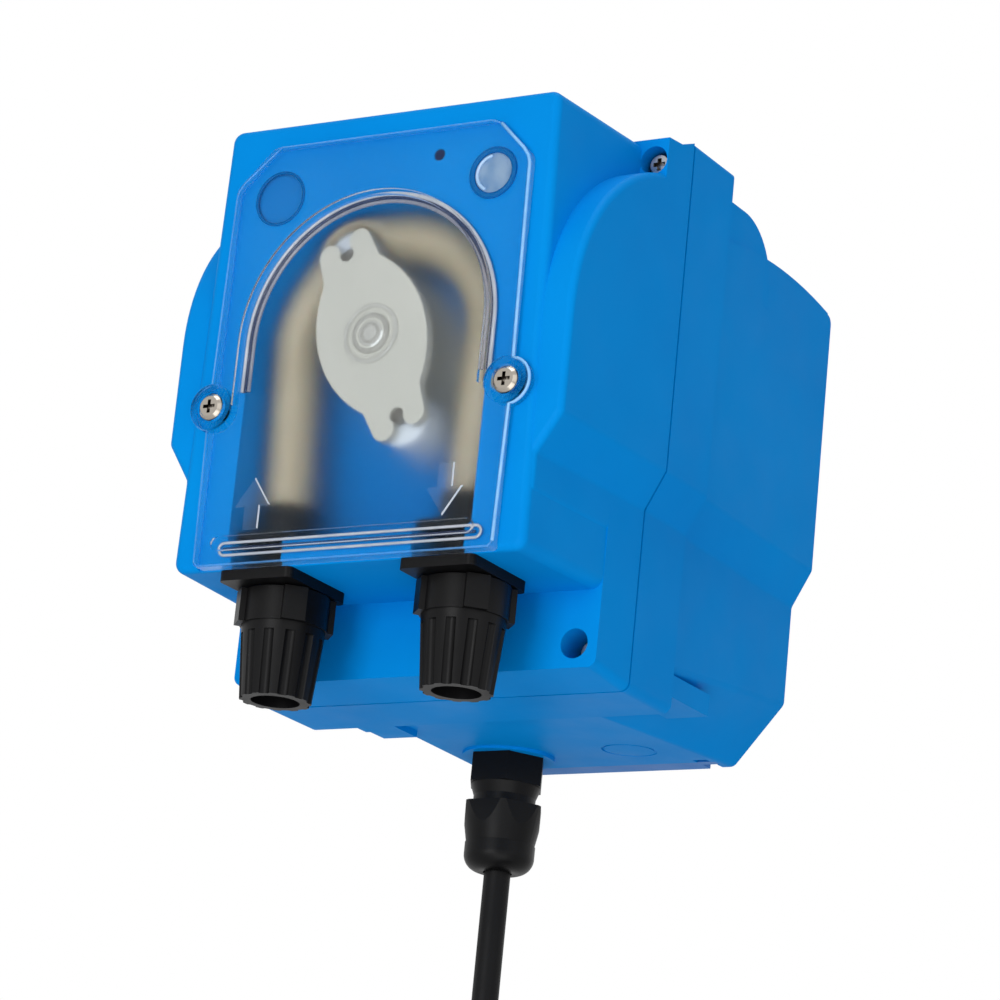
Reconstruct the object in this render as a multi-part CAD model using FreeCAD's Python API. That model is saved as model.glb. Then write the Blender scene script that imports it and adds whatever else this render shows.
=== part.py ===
import FreeCAD, Part
import math
import os

# Wall-mounted peristaltic dosing pump, in millimetres.
# The frame has its origin in the middle of the wall bracket's screw holes, on the wall face.
# +X is to the right seen from the front, +Y points into the wall and +Z is up.
# Most sizes are given as a depth behind the front face and a height above the pump head's lower edge.

# Housing, outside
ROTOR_HEIGHT = 50.0
HEAD_ABOVE_ROTOR = 49.8
HEAD_HEIGHT = ROTOR_HEIGHT + HEAD_ABOVE_ROTOR
HEAD_TOP_HALF = 41.0
HEAD_BOTTOM_HALF = 43.0
HEAD_EDGE_RADIUS = 1.8
HEAD_CORNER_RADIUS = 2.6
HEAD_TOP_RISE = 0.4
SIDE_GROWTH = 2.6
PARTING_DEPTH = 42.7
RIM_TOP = HEAD_HEIGHT + 3.2
RIM_DEPTH = 5.2
WIDE_HALF = 48.5
WIDE_GROWTH = 1.5
WIDE_TOP = RIM_TOP - 9.4
WIDE_ROUND = 42.0
WIDE_EDGE_RADIUS = 1.5
WIDE_START = 0.7
WIDE_BOTTOM = 29.1
STEP_BOTTOM = 20.8
EAR_DEPTH = 10.5
EAR_TOP = RIM_TOP - 2.6
LOWER_FACE_DEPTH = 29.5
LOWER_DROP = 16.6
PARTING_DROP = 18.4
BAND_DEPTH = 18.3
HOUSING_DEPTH = 117.0
REAR_WIDE_INSET = 1.4
REAR_WIDE_HALF = WIDE_HALF - REAR_WIDE_INSET
REAR_LOWER_INSET = 0.3
REAR_LOWER_HALF = HEAD_BOTTOM_HALF - REAR_LOWER_INSET
REAR_TOP = RIM_TOP - 11.6
REAR_TOP_DEPTH = 93.3
REAR_TOP_ROUND = 147.0
REAR_EDGE_RADIUS = 2.0
REAR_DROP = 15.5
REAR_FLAT_HALF = 31.4
REAR_CHAMFER_DROP = 1.7
BAND_FLAT_HALF = 24.0
BAND_CHAMFER_DROP = 11.0
CORNER_RADIUS = 2.0
TOP_CORNER_RADIUS = 1.2
RIM_INSET = 0.6
RIM_NOTCH_X = 26.8
RIM_NOTCH_HALF = 1.75
RIM_NOTCH_HEIGHT = 1.2
WALL = 2.4

# Bosses behind the band, which take the housing screws
UPPER_BOSS_INSET = 0.3
UPPER_BOSS_WIDTH = 7.7
UPPER_BOSS_OUTER = WIDE_HALF - UPPER_BOSS_INSET
UPPER_BOSS_INNER = UPPER_BOSS_OUTER - UPPER_BOSS_WIDTH
UPPER_BOSS_TOP = RIM_TOP - 5.2
UPPER_BOSS_BOTTOM = RIM_TOP - 23.0
UPPER_BOSS_ROUND = 13.8
UPPER_BOSS_LENGTH = 23.3
LOWER_BOSS_PROUD = 0.6
LOWER_BOSS_WIDTH = 10.1
LOWER_BOSS_OUTER = HEAD_BOTTOM_HALF + LOWER_BOSS_PROUD
LOWER_BOSS_INNER = LOWER_BOSS_OUTER - LOWER_BOSS_WIDTH
LOWER_BOSS_TOP = -9.0
LOWER_BOSS_BOTTOM = -13.8
LOWER_BOSS_LENGTH = 20.0
FOOT_INNER = 23.2
FOOT_OUTER = 31.7
FOOT_LENGTH = 9.5
UPPER_SCREW_INSET = 2.3
UPPER_SCREW_X = WIDE_HALF - UPPER_SCREW_INSET
UPPER_SCREW_Z = RIM_TOP - 7.5
LOWER_SCREW_INSET = 3.7
LOWER_SCREW_X = HEAD_BOTTOM_HALF - LOWER_SCREW_INSET
LOWER_SCREW_Z = -11.4
COUNTERBORE_RADIUS = 3.2
UPPER_COUNTERBORE = 4.6
LOWER_COUNTERBORE = 9.0
HOUSING_SCREW_RADIUS = 1.6
HOUSING_SCREW_HEAD_RADIUS = 2.8
HOUSING_SCREW_HEAD = 2.2
HOUSING_SCREW_LENGTH = 22.0
SCREW_COLUMN_RADIUS = 4.8
LENS_COLUMN_WALL = 1.6
GASKET_THICKNESS = 0.6
GASKET_INSET = 0.7
GASKET_WIDTH = 1.4

# Pump head
TRACK_RADIUS = 29.8
CAVITY_DEPTH = 24.0
CAVITY_BOTTOM = 6.2
CAVITY_CORNER = 0.8
COVER_HALF = 36.5
COVER_TOP = HEAD_HEIGHT - 6.0
COVER_BOTTOM = 0.3
COVER_CHAMFER = 8.7
COVER_THICKNESS = 3.0
COVER_SEAT = 1.2
COVER_RELIEF = 0.15
COVER_CLEARANCE = 0.3
COVER_SCREW_SINK = -0.5
COVER_SCREW_X = 36.3
COVER_SCREW_Z = ROTOR_HEIGHT - 14.4
COVER_LOBE_RADIUS = 5.0
COVER_SCREW_RADIUS = 1.4
COVER_SCREW_HEAD_RADIUS = 2.95
COVER_SCREW_HEAD = 1.8
COVER_SCREW_LENGTH = 12.0
BEAD_WIDTH = 1.3
BEAD_HEIGHT = 0.9
BEAD_OUTSET = 1.2
BAR_HALF = 32.0
BAR_HEIGHT = 3.0
BAR_Z = 5.0
SKIN = 0.2
LENS_X = 26.6
LENS_Z = HEAD_HEIGHT - 17.0
LENS_RADIUS = 4.8
LENS_FLANGE = 0.8
LENS_LENGTH = 5.5
BLIND_RADIUS = 6.0
BLIND_DEPTH = 0.7
LED_X = 12.8
LED_Z = HEAD_HEIGHT - 11.4
LED_RADIUS = 1.25
LED_LENGTH = 6.0

# Rotor, rollers and pump tube
ROTOR_TILT = 24.4
PIN_CIRCLE = 20.4
PIN_RADIUS = 1.5
PLATE_HOLE_RADIUS = 1.65
ROLLER_RADIUS = 6.0
ROLLER_LENGTH = 16.4
ROTOR_PLATE = 2.4
ROTOR_FRONT = 2.0
ROTOR_HALF_WIDTH = 13.1
ROTOR_LENS_HALF = 22.0
ROTOR_HUB_RADIUS = 7.0
ROTOR_BOSS_RADIUS = 4.0
ROTOR_BOSS_HEIGHT = 0.5
ROTOR_CLIP_RADIUS = 2.6
ROTOR_SCREW_RADIUS = 1.2
ROTOR_SCREW_LENGTH = 6.0
ROTOR_SHAFT_START = 10.0
ROTOR_BACK_PLATE = 2.0
PRONG_RADIUS = 2.6
PRONG_ALONG = 21.8
PRONG_ACROSS = 3.9
PRONG_GAP = 0.9
ROLLER_EDGE = 0.5
TUBE_RADIUS = 5.4
TUBE_WALL = 1.6
TUBE_DEPTH = 12.3
TUBE_END_Z = 10.6
TUBE_SQUEEZE = 8.05
TUBE_SQUEEZE_SPREAD = 22.0
TUBE_RUNNING_GAP = 0.22
PORT_X = 22.2
PORT_DEPTH = 13.4

# Tube ports under the pump head
PORT_FLANGE = 18.0
PORT_FLANGE_THICKNESS = 2.3
PORT_FLANGE_FRONT = 13.0
PORT_NECK_RADIUS = 6.0
PORT_BLOCK_FRONT = 9.0
PORT_BLOCK_WIDTH = 14.8
PORT_BLOCK_BEVEL = 1.0
PORT_HEX_RADIUS = 7.4
PORT_HEX_HEIGHT = 3.4
PORT_SPIGOT_RADIUS = 5.6
PORT_SPIGOT_LENGTH = 12.0
PORT_BARB_RADIUS = 3.75
PORT_BARB_LENGTH = 6.5
PORT_BORE_RADIUS = 2.0
NUT_COLLAR_RADIUS = 9.3
NUT_COLLAR_HEIGHT = 7.2
NUT_WING_REACH = 0.9
NUT_WING_WIDTH = 5.0
NUT_WINGS = 4
NUT_TOP_RADIUS = 8.9
NUT_BOTTOM_RADIUS = 7.6
NUT_RIB_DEPTH = 0.8
NUT_RIBS = 12
NUT_RIB_START = 2.0
NUT_TAPER_LENGTH = 15.6
NUT_MOUTH_RADIUS = 5.2
NUT_MOUTH_LENGTH = 4.0

# Gear motor
SHAFT_RADIUS = 3.0
SHAFT_FLAT = 0.6
ARBOR_RADIUS = 1.5
MOTOR_SHAFT_RADIUS = 1.25
SEAL_RADIUS = 7.0
BUSH_RADIUS = 5.0
BUSH_FLANGE_RADIUS = 6.5
BUSH_FLANGE = 1.0
BEARING_CLEARANCE = 0.04
GEARBOX_STANDOFF = 2.2
GEARBOX_PLATE = 2.0
GEARBOX_GAP = 16.0
GEARBOX_HALF_WIDTH = 27.0
GEARBOX_TOP = ROTOR_HEIGHT + 23.0
MOTOR_BELOW = 17.0
PILLAR_X = 21.0
PILLAR_INSET = 5.0
PILLAR_RADIUS = 3.0
PILLAR_SCREW_RADIUS = 1.5
PILLAR_SCREW_HEAD_RADIUS = 2.7
PILLAR_SCREW_HEAD = 1.6
MODULE = 0.8
WHEEL_TEETH = 48
PINION_TEETH = 12
TOOTH_ADDENDUM = 0.75
TOOTH_DEDENDUM = 1.1
TOOTH_ROOT_SHARE = 0.33
TOOTH_TIP_SHARE = 0.12
WHEEL_START = 1.6
GEAR_WIDTH = 5.0
GEAR_MARGIN = 1.2
MOTOR_RADIUS = 18.0
MOTOR_BOARD_GAP = 10.9
MOTOR_EDGE = 1.2
MOTOR_BOSS_RADIUS = 5.0
MOTOR_CAP_LENGTH = 3.0
MOTOR_SHAFT_DEPTH = 10.0
MOTOR_SCREW_LENGTH = 4.0
MOTOR_SCREW_CIRCLE = 12.5

# Electronics
BOARD_HALF = 34.0
BOARD_BOTTOM = 14.0
BOARD_TOP = HEAD_HEIGHT - 19.8
BOARD_THICKNESS = 1.6
BOARD_STANDOFF = 6.0
BOARD_HOLE_INSET = 4.0
BOARD_SCREW_RADIUS = 1.4
BOARD_SCREW_LENGTH = 5.0
BOARD_POST_RADIUS = 3.0
TRANSFORMER_WIDTH = 30.0
TRANSFORMER_HEIGHT = 20.0
TRANSFORMER_DEPTH = 24.0
TRANSFORMER_Z = 62.0
TRIMMER_X = 22.0
TRIMMER_Z = 28.0
CAPACITOR_RADIUS = 5.0
CAPACITOR_X = -24.0
CAPACITOR_LENGTH = 16.0
CAPACITOR_EDGE = 0.6
TERMINAL_WAYS = 3
TERMINAL_PITCH = 5.08
TERMINAL_HEIGHT = 10.0
TERMINAL_DEPTH = 9.0
TERMINAL_MARGIN = 1.0
TERMINAL_MOUTH = 1.6
TERMINAL_SCREW_RADIUS = 1.7
WIRE_GRIP = 4.0
INDICATOR_BOARD_LEFT = 7.5
INDICATOR_BOARD_RIGHT = 34.5
INDICATOR_BOARD_DROP = 5.2
INDICATOR_BOARD_HEIGHT = 10.6
INDICATOR_BOARD_TOP = HEAD_HEIGHT - INDICATOR_BOARD_DROP
INDICATOR_BOARD_BOTTOM = INDICATOR_BOARD_TOP - INDICATOR_BOARD_HEIGHT

# Cable gland and cord
GLAND_X = -15.5
GLAND_BACK_GAP = 2.4
GLAND_SEAT_DROP = 17.0
GLAND_SEAT_RADIUS = 10.4
GLAND_SEAT_WALL = 3.6
GLAND_SEAL_LENGTH = 2.6
GLAND_THREAD_RADIUS = 6.4
GLAND_HEX_RADIUS = 9.1
GLAND_HEX_HEIGHT = 9.0
GLAND_NECK_RADIUS = 7.0
GLAND_NUT_RADIUS = 9.7
GLAND_NUT_START = 11.0
GLAND_NUT_HEX = 9.8
GLAND_DOME_RADIUS = 7.9
GLAND_DOME_LENGTH = 5.4
LOCK_NUT_HEIGHT = 4.0
LOCK_NUT_RADIUS = 9.4
KNOCKOUT_RADIUS = 6.2
KNOCKOUT_GROOVE = 0.6
CORD_RADIUS = 3.0
CORD_INSIDE = 16.0
CORE_SPACING = 2.0
CORD_HANG = 86.0
CORD_TAIL = 45.0
COIL_TURN_RADIUS = 32.7
COIL_PITCH = 6.2
COIL_ROWS = 3
TIE_WIDTH = 5.0
TIE_THICKNESS = 1.2
WIRE_RADIUS = 1.0
WIRE_LENGTH = 12.0
FERRULE_LENGTH = 8.0

# Wall bracket and the slot it slides in
WALL_GAP = 0.8
BRACKET_FLANGE_HALF = 29.1
BRACKET_STEM_HALF = 25.0
BRACKET_FLANGE = 2.4
BRACKET_STEM = 3.6
BRACKET_TOP = REAR_TOP - 13.4
BRACKET_HOLE_RADIUS = 2.2
BRACKET_HOLE_X = 18.0
BRACKET_HOLE_Z = 25.0
BRACKET_HEAD_RADIUS = 4.2
BRACKET_HEAD_DEPTH = 2.2
SLIDE_CLEARANCE = 0.3
BRACKET_CENTRE = 42.0
BRACKET_CORNER = 4.0

# Clearances between pieces, and how far a cutting shape runs past what it cuts
FIT = 0.05
GAP = 0.3
PAST = 1.0
FAR = 200.0

# Values worked out from the sizes above
FRONT_Y = -(HOUSING_DEPTH + WALL_GAP)
BAND_BACK = PARTING_DEPTH + BAND_DEPTH
ROTOR_BACK = ROTOR_FRONT + ROTOR_PLATE + ROLLER_LENGTH + 2 * GAP
WELL_BACK = CAVITY_DEPTH + WALL
GEARBOX_FRONT = WELL_BACK + GEARBOX_STANDOFF
GEAR_SPACE = GEARBOX_FRONT + GEARBOX_PLATE
GEARBOX_REAR = GEAR_SPACE + GEARBOX_GAP
MOTOR_FACE = GEARBOX_REAR + GEARBOX_PLATE
CENTRE_DISTANCE = MODULE * (WHEEL_TEETH + PINION_TEETH) / 2
IDLER_X = CENTRE_DISTANCE * math.cos(math.radians(30))
IDLER_Z = ROTOR_HEIGHT - CENTRE_DISTANCE / 2
MOTOR_Z = ROTOR_HEIGHT - CENTRE_DISTANCE
GEARBOX_BOTTOM = MOTOR_Z - MOTOR_BELOW
SLOT_FRONT = HOUSING_DEPTH + WALL_GAP - BRACKET_STEM - BRACKET_FLANGE - SLIDE_CLEARANCE
SLOT_BACK = HOUSING_DEPTH + WALL_GAP - BRACKET_STEM + SLIDE_CLEARANCE
INNER_BACK = SLOT_FRONT - WALL
BOARD_BACK = INNER_BACK - BOARD_STANDOFF
BOARD_FRONT = BOARD_BACK - BOARD_THICKNESS
MOTOR_LENGTH = BOARD_FRONT - MOTOR_BOARD_GAP - 2 * MOTOR_CAP_LENGTH - MOTOR_FACE
WIRE_END_DEPTH = BOARD_FRONT - TERMINAL_DEPTH / 2
GLAND_DEPTH = INNER_BACK - LOCK_NUT_RADIUS - GLAND_BACK_GAP
COVER_PROUD = COVER_THICKNESS - COVER_SEAT
GLAND_EXIT_DROP = GLAND_SEAT_DROP + GLAND_NUT_START + GLAND_NUT_HEX + GLAND_DOME_LENGTH


def point(x, depth, z):
    """A point of the pump: x across, depth behind the front face, z above the head's lower edge."""
    return FreeCAD.Vector(x, FRONT_Y + depth, z - BRACKET_CENTRE)


def block(x0, x1, depth0, depth1, z0, z1):
    """A box between two corners."""
    return Part.makeBox(x1 - x0, depth1 - depth0, z1 - z0, point(x0, depth0, z0))


def rod(radius, x, z, depth0, depth1):
    """A round bar along the depth."""
    return Part.makeCylinder(radius, depth1 - depth0, point(x, depth0, z), FreeCAD.Vector(0, 1, 0))


def post(radius, x, depth, z0, z1):
    """A round bar standing up."""
    return Part.makeCylinder(radius, z1 - z0, point(x, depth, z0))


def cone(radius0, radius1, x, depth, z0, z1):
    """A tapered round bar standing up."""
    return Part.makeCone(radius0, radius1, z1 - z0, point(x, depth, z0))


def rounded(corners, radii, place):
    """A closed wire through rounded corners (u, v); place turns u, v into a point."""
    edges = []
    ends = []
    count = len(corners)
    for i in range(count):
        u, v = corners[i]
        before = corners[i - 1]
        after = corners[(i + 1) % count]
        back = (before[0] - u, before[1] - v)
        on = (after[0] - u, after[1] - v)
        back_length = math.hypot(*back)
        on_length = math.hypot(*on)
        if radii[i] <= 0:
            ends.append(((u, v), None, (u, v)))
            continue
        cosine = (back[0] * on[0] + back[1] * on[1]) / (back_length * on_length)
        half = math.acos(max(-1.0, min(1.0, cosine))) / 2
        reach = radii[i] / math.tan(half)
        first = (u + back[0] / back_length * reach, v + back[1] / back_length * reach)
        last = (u + on[0] / on_length * reach, v + on[1] / on_length * reach)
        bisector = (back[0] / back_length + on[0] / on_length, back[1] / back_length + on[1] / on_length)
        size = math.hypot(*bisector)
        middle_reach = radii[i] / math.sin(half) - radii[i]
        middle = (u + bisector[0] / size * middle_reach, v + bisector[1] / size * middle_reach)
        ends.append((first, middle, last))
    for i in range(count):
        first, middle, last = ends[i]
        following = ends[(i + 1) % count][0]
        if middle is not None:
            edges.append(Part.Arc(place(*first), place(*middle), place(*last)).toShape())
        if math.hypot(following[0] - last[0], following[1] - last[1]) > 1e-6:
            edges.append(Part.LineSegment(place(*last), place(*following)).toShape())
    return Part.Wire(edges)


def front_plane(depth):
    """Turns x, z into a point at one depth."""
    return lambda x, z: point(x, depth, z)


def prism(wire, length):
    """The wire's face pushed along the depth."""
    return Part.Face(wire).extrude(FreeCAD.Vector(0, length, 0))


def between(wires):
    """A solid between matching wires, with straight sides."""
    return Part.makeLoft(wires, True, True)


def mirrored(shape):
    """The shape's twin on the other side of the pump."""
    return shape.mirror(FreeCAD.Vector(0, 0, 0), FreeCAD.Vector(1, 0, 0))


def both_sides(shape):
    """The shape and its twin, fused."""
    return shape.fuse(mirrored(shape))


def hexagon(radius, x, depth, z0, z1, turn=0.0):
    """A six-sided bar standing up; radius is to its corners."""
    corners = []
    for i in range(6):
        angle = math.radians(60 * i + turn)
        corners.append(point(x + radius * math.cos(angle), depth + radius * math.sin(angle), z0))
    return Part.Face(Part.makePolygon(corners + corners[:1])).extrude(FreeCAD.Vector(0, 0, z1 - z0))


def trapezoid(depth, bottom_half, top_half, bottom, top, radius, inset):
    """The pump head's section at one depth."""
    corners = [
        (-bottom_half + inset, bottom + inset),
        (bottom_half - inset, bottom + inset),
        (top_half - inset, top - inset),
        (-top_half + inset, top - inset),
    ]
    return rounded(corners, [radius] * 4, front_plane(depth))


def stepped(depth, low_half, wide_half, bottom, top, radius, inset):
    """The section with the narrow lower part, the slanting step and the wide upper part."""
    low = low_half - inset
    wide = wide_half - inset
    corners = [
        (-low, bottom + inset),
        (low, bottom + inset),
        (low, STEP_BOTTOM),
        (wide, WIDE_BOTTOM),
        (wide, top - inset),
        (-wide, top - inset),
        (-wide, WIDE_BOTTOM),
        (-low, STEP_BOTTOM),
    ]
    radii = [radius] * 4 + [TOP_CORNER_RADIUS] * 2 + [radius] * 2
    return rounded(corners, radii, front_plane(depth))


def head_block(inset):
    """The pump head: a tapered block with rounded front edges."""
    start = inset
    near = trapezoid(start, HEAD_BOTTOM_HALF, HEAD_TOP_HALF, 0.0, HEAD_HEIGHT, HEAD_CORNER_RADIUS, inset)
    far = trapezoid(
        PARTING_DEPTH,
        HEAD_BOTTOM_HALF + SIDE_GROWTH,
        HEAD_TOP_HALF + SIDE_GROWTH,
        0.0,
        HEAD_HEIGHT + HEAD_TOP_RISE,
        HEAD_CORNER_RADIUS,
        inset,
    )
    solid = between([near, far])
    if inset > 0:
        return solid
    edges = []
    for edge in solid.Edges:
        box = edge.BoundBox
        if box.YMax < FRONT_Y + 0.01:
            edges.append(edge)
    return solid.makeFillet(HEAD_EDGE_RADIUS, edges)


def wide_taper(inset):
    """The tapering block that the wide part and the ears are cut from, so that their sides are flush."""
    bottom = STEP_BOTTOM - 9.0
    top = RIM_TOP + 9.0
    near = stepped(WIDE_START + inset, HEAD_BOTTOM_HALF, WIDE_HALF, bottom, top, CORNER_RADIUS, inset)
    far = stepped(
        PARTING_DEPTH,
        HEAD_BOTTOM_HALF + SIDE_GROWTH,
        WIDE_HALF + WIDE_GROWTH,
        bottom,
        top,
        CORNER_RADIUS,
        inset,
    )
    return between([near, far])


def wide_body(inset):
    """The wide part of the front shell: its top is a quarter round that ends at the parting plane."""
    middle = WIDE_TOP - WIDE_ROUND
    start = point(-2 * WIDE_HALF, PARTING_DEPTH, middle)
    round_part = Part.makeCylinder(WIDE_ROUND - inset, 4 * WIDE_HALF, start, FreeCAD.Vector(1, 0, 0))
    low_part = block(
        -2 * WIDE_HALF, 2 * WIDE_HALF, PARTING_DEPTH - WIDE_ROUND + inset, PARTING_DEPTH, 0.0, middle
    )
    body = wide_taper(inset).common(round_part.fuse(low_part)).removeSplitter()
    if inset > 0:
        return body
    rims = []
    for edge in body.Edges:
        box = edge.BoundBox
        if box.ZLength > EAR_DEPTH and box.YMin < FRONT_Y + WALL:
            rims.append(edge)
    return body.makeFillet(WIDE_EDGE_RADIUS, rims)


def lower_body(inset):
    """The lower part of the front shell, set back behind the pump head."""
    share = LOWER_FACE_DEPTH / PARTING_DEPTH
    half = HEAD_BOTTOM_HALF + SIDE_GROWTH * share
    near = trapezoid(LOWER_FACE_DEPTH + inset, half, half, -LOWER_DROP, 20.0, CORNER_RADIUS, inset)
    far = trapezoid(
        PARTING_DEPTH,
        HEAD_BOTTOM_HALF + SIDE_GROWTH,
        HEAD_BOTTOM_HALF + SIDE_GROWTH,
        -PARTING_DROP,
        20.0,
        CORNER_RADIUS,
        inset,
    )
    return between([near, far])


def ears():
    """The blocks beside the head's top that take the upper screws, and the rim along the parting plane."""
    start = PARTING_DEPTH - EAR_DEPTH
    bottom = RIM_TOP - 18.0
    profile = [
        (start, bottom),
        (PARTING_DEPTH, bottom),
        (PARTING_DEPTH, RIM_TOP),
        (PARTING_DEPTH - RIM_DEPTH, EAR_TOP + 0.4),
        (start, EAR_TOP),
    ]
    corners = [point(-2 * WIDE_HALF, depth, z) for depth, z in profile]
    side = Part.Face(Part.makePolygon(corners + corners[:1])).extrude(FreeCAD.Vector(4 * WIDE_HALF, 0, 0))
    return side.common(wide_taper(0.0))


def front_outer():
    """The front shell's outside as one solid."""
    return head_block(0.0).multiFuse([wide_body(0.0), lower_body(0.0), ears()]).removeSplitter()


def front_inner():
    """The hollow of the front shell, open at the parting plane."""
    return head_block(WALL).multiFuse([wide_body(WALL), lower_body(WALL)])


def arch(grow, depth0, depth1, bottom):
    """The pump head's arch-shaped space, grown outwards, from one depth to another."""
    radius = TRACK_RADIUS + grow
    corner = CAVITY_CORNER
    left_low = point(-radius, depth0, bottom + corner)
    edges = [
        Part.Arc(
            left_low,
            point(-radius + corner * (1 - math.sqrt(0.5)), depth0, bottom + corner * (1 - math.sqrt(0.5))),
            point(-radius + corner, depth0, bottom),
        ).toShape(),
        Part.LineSegment(
            point(-radius + corner, depth0, bottom), point(radius - corner, depth0, bottom)
        ).toShape(),
        Part.Arc(
            point(radius - corner, depth0, bottom),
            point(radius - corner * (1 - math.sqrt(0.5)), depth0, bottom + corner * (1 - math.sqrt(0.5))),
            point(radius, depth0, bottom + corner),
        ).toShape(),
        Part.LineSegment(
            point(radius, depth0, bottom + corner), point(radius, depth0, ROTOR_HEIGHT)
        ).toShape(),
        Part.Arc(
            point(radius, depth0, ROTOR_HEIGHT),
            point(0, depth0, ROTOR_HEIGHT + radius),
            point(-radius, depth0, ROTOR_HEIGHT),
        ).toShape(),
        Part.LineSegment(point(-radius, depth0, ROTOR_HEIGHT), left_low).toShape(),
    ]
    return prism(Part.Wire(edges), depth1 - depth0)


def cover_outline(grow, depth):
    """The cover's outline: square below, with slanting corners above."""
    half = COVER_HALF + grow
    corners = [
        (-half, COVER_BOTTOM - grow),
        (half, COVER_BOTTOM - grow),
        (half, COVER_TOP - COVER_CHAMFER),
        (half - COVER_CHAMFER, COVER_TOP + grow),
        (-half + COVER_CHAMFER, COVER_TOP + grow),
        (-half, COVER_TOP - COVER_CHAMFER),
    ]
    return rounded(corners, [1.2, 1.2, 3.0, 3.0, 3.0, 3.0], front_plane(depth))


def cover_blank(grow, depth0, depth1):
    """The cover's plate with its two round screw lobes."""
    plate = prism(cover_outline(grow, depth0), depth1 - depth0)
    lobe = rod(COVER_LOBE_RADIUS + grow, COVER_SCREW_X, COVER_SCREW_Z, depth0, depth1)
    return plate.fuse(both_sides(lobe))


def port_slot():
    """The two slots in the head's floor that the tube ports slide into from the front."""
    radius = PORT_NECK_RADIUS + GAP
    round_end = post(radius, PORT_X, PORT_DEPTH, -1.0, CAVITY_BOTTOM + 1.0)
    mouth = block(PORT_X - radius, PORT_X + radius, -1.0, PORT_DEPTH, -1.0, CAVITY_BOTTOM + 1.0)
    return both_sides(round_end.fuse(mouth))


def screw_places():
    """Where each pair of housing screws is: across, height, and the counterbore's mouth and floor."""
    upper = PARTING_DEPTH - EAR_DEPTH
    return (
        (UPPER_SCREW_X, UPPER_SCREW_Z, upper, upper + UPPER_COUNTERBORE),
        (LOWER_SCREW_X, LOWER_SCREW_Z, LOWER_FACE_DEPTH, LOWER_FACE_DEPTH + LOWER_COUNTERBORE),
    )


def front_shell():
    """The blue front half: pump head, sides and lower body in one moulding."""
    outer = front_outer()
    shell = outer.cut(front_inner())
    well = arch(WALL, COVER_SEAT, WELL_BACK, CAVITY_BOTTOM - WALL - 1.0)
    lobe_column = rod(SCREW_COLUMN_RADIUS, COVER_SCREW_X, COVER_SCREW_Z, WALL / 2, COVER_SCREW_LENGTH + 2.0)
    additions = [well.common(outer), both_sides(lobe_column)]
    for x, z, mouth, seat in screw_places():
        column = rod(SCREW_COLUMN_RADIUS, x, z, mouth, PARTING_DEPTH)
        additions.append(both_sides(column).common(outer))
    for x, z in gearbox_corners():
        additions.append(rod(PILLAR_RADIUS, x, z, WELL_BACK - WALL / 2, GEARBOX_FRONT))
    lens_column = rod(LENS_RADIUS + LENS_COLUMN_WALL, LENS_X, LENS_Z, WALL / 2, LENS_LENGTH + COVER_SEAT)
    additions.append(lens_column)
    shell = shell.multiFuse(additions)
    cuts = [arch(0.0, -1.0, CAVITY_DEPTH, CAVITY_BOTTOM)]
    cuts.append(cover_blank(COVER_CLEARANCE, -1.0, COVER_SEAT))
    cuts.append(port_slot())
    cuts.append(
        both_sides(rod(COVER_SCREW_RADIUS + FIT, COVER_SCREW_X, COVER_SCREW_Z, 0.0, COVER_SCREW_LENGTH))
    )
    cuts.append(rod(SEAL_RADIUS + FIT, 0.0, ROTOR_HEIGHT, CAVITY_DEPTH - 1.0, WELL_BACK + 1.0))
    cuts.append(rod(LENS_RADIUS + FIT, LENS_X, LENS_Z, COVER_SEAT - 1.0, LENS_LENGTH + COVER_SEAT + 1.0))
    cuts.append(
        rod(LENS_RADIUS + LENS_FLANGE + FIT, LENS_X, LENS_Z, COVER_SEAT - 1.0, COVER_SEAT + LENS_FLANGE)
    )
    cuts.append(rod(LED_RADIUS + FIT, LED_X, LED_Z, COVER_SEAT - 1.0, WALL + 2.0))
    cuts.append(rod(BLIND_RADIUS, -LENS_X, LENS_Z, COVER_SEAT - 1.0, COVER_SEAT + BLIND_DEPTH))
    for x, z, mouth, seat in screw_places():
        cuts.append(both_sides(rod(COUNTERBORE_RADIUS, x, z, mouth - 12.0, seat)))
        cuts.append(both_sides(rod(HOUSING_SCREW_RADIUS + GAP, x, z, mouth, PARTING_DEPTH + 1.0)))
    for x, z in gearbox_corners():
        cuts.append(rod(PILLAR_SCREW_RADIUS + FIT, x, z, WELL_BACK + 0.1, GEARBOX_FRONT + 1.0))
    cuts.append(block(-FAR, FAR, PARTING_DEPTH - GASKET_THICKNESS / 2, PARTING_DEPTH + FAR, -FAR, FAR))
    return shell.cut(cuts)


def rear_section(share, inset, depth):
    """The rear shell's outline behind the band; share runs from 0 at the band to 1 at the back."""
    def mix(near, far):
        return near + (far - near) * share

    low = mix(HEAD_BOTTOM_HALF + SIDE_GROWTH - RIM_INSET, REAR_LOWER_HALF) - inset
    wide = mix(WIDE_HALF + WIDE_GROWTH - RIM_INSET, REAR_WIDE_HALF) - inset
    flat = mix(BAND_FLAT_HALF, REAR_FLAT_HALF) - inset / 2
    bottom = mix(-PARTING_DROP + RIM_INSET, -REAR_DROP) + inset
    chamfer = mix(-BAND_CHAMFER_DROP, -REAR_CHAMFER_DROP) + inset / 2
    top = RIM_TOP
    corners = [
        (-flat, bottom),
        (flat, bottom),
        (low, chamfer),
        (low, STEP_BOTTOM),
        (wide, WIDE_BOTTOM),
        (wide, top),
        (-wide, top),
        (-wide, WIDE_BOTTOM),
        (-low, STEP_BOTTOM),
        (-low, chamfer),
    ]
    return rounded(corners, [CORNER_RADIUS] * len(corners), front_plane(depth))


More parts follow.
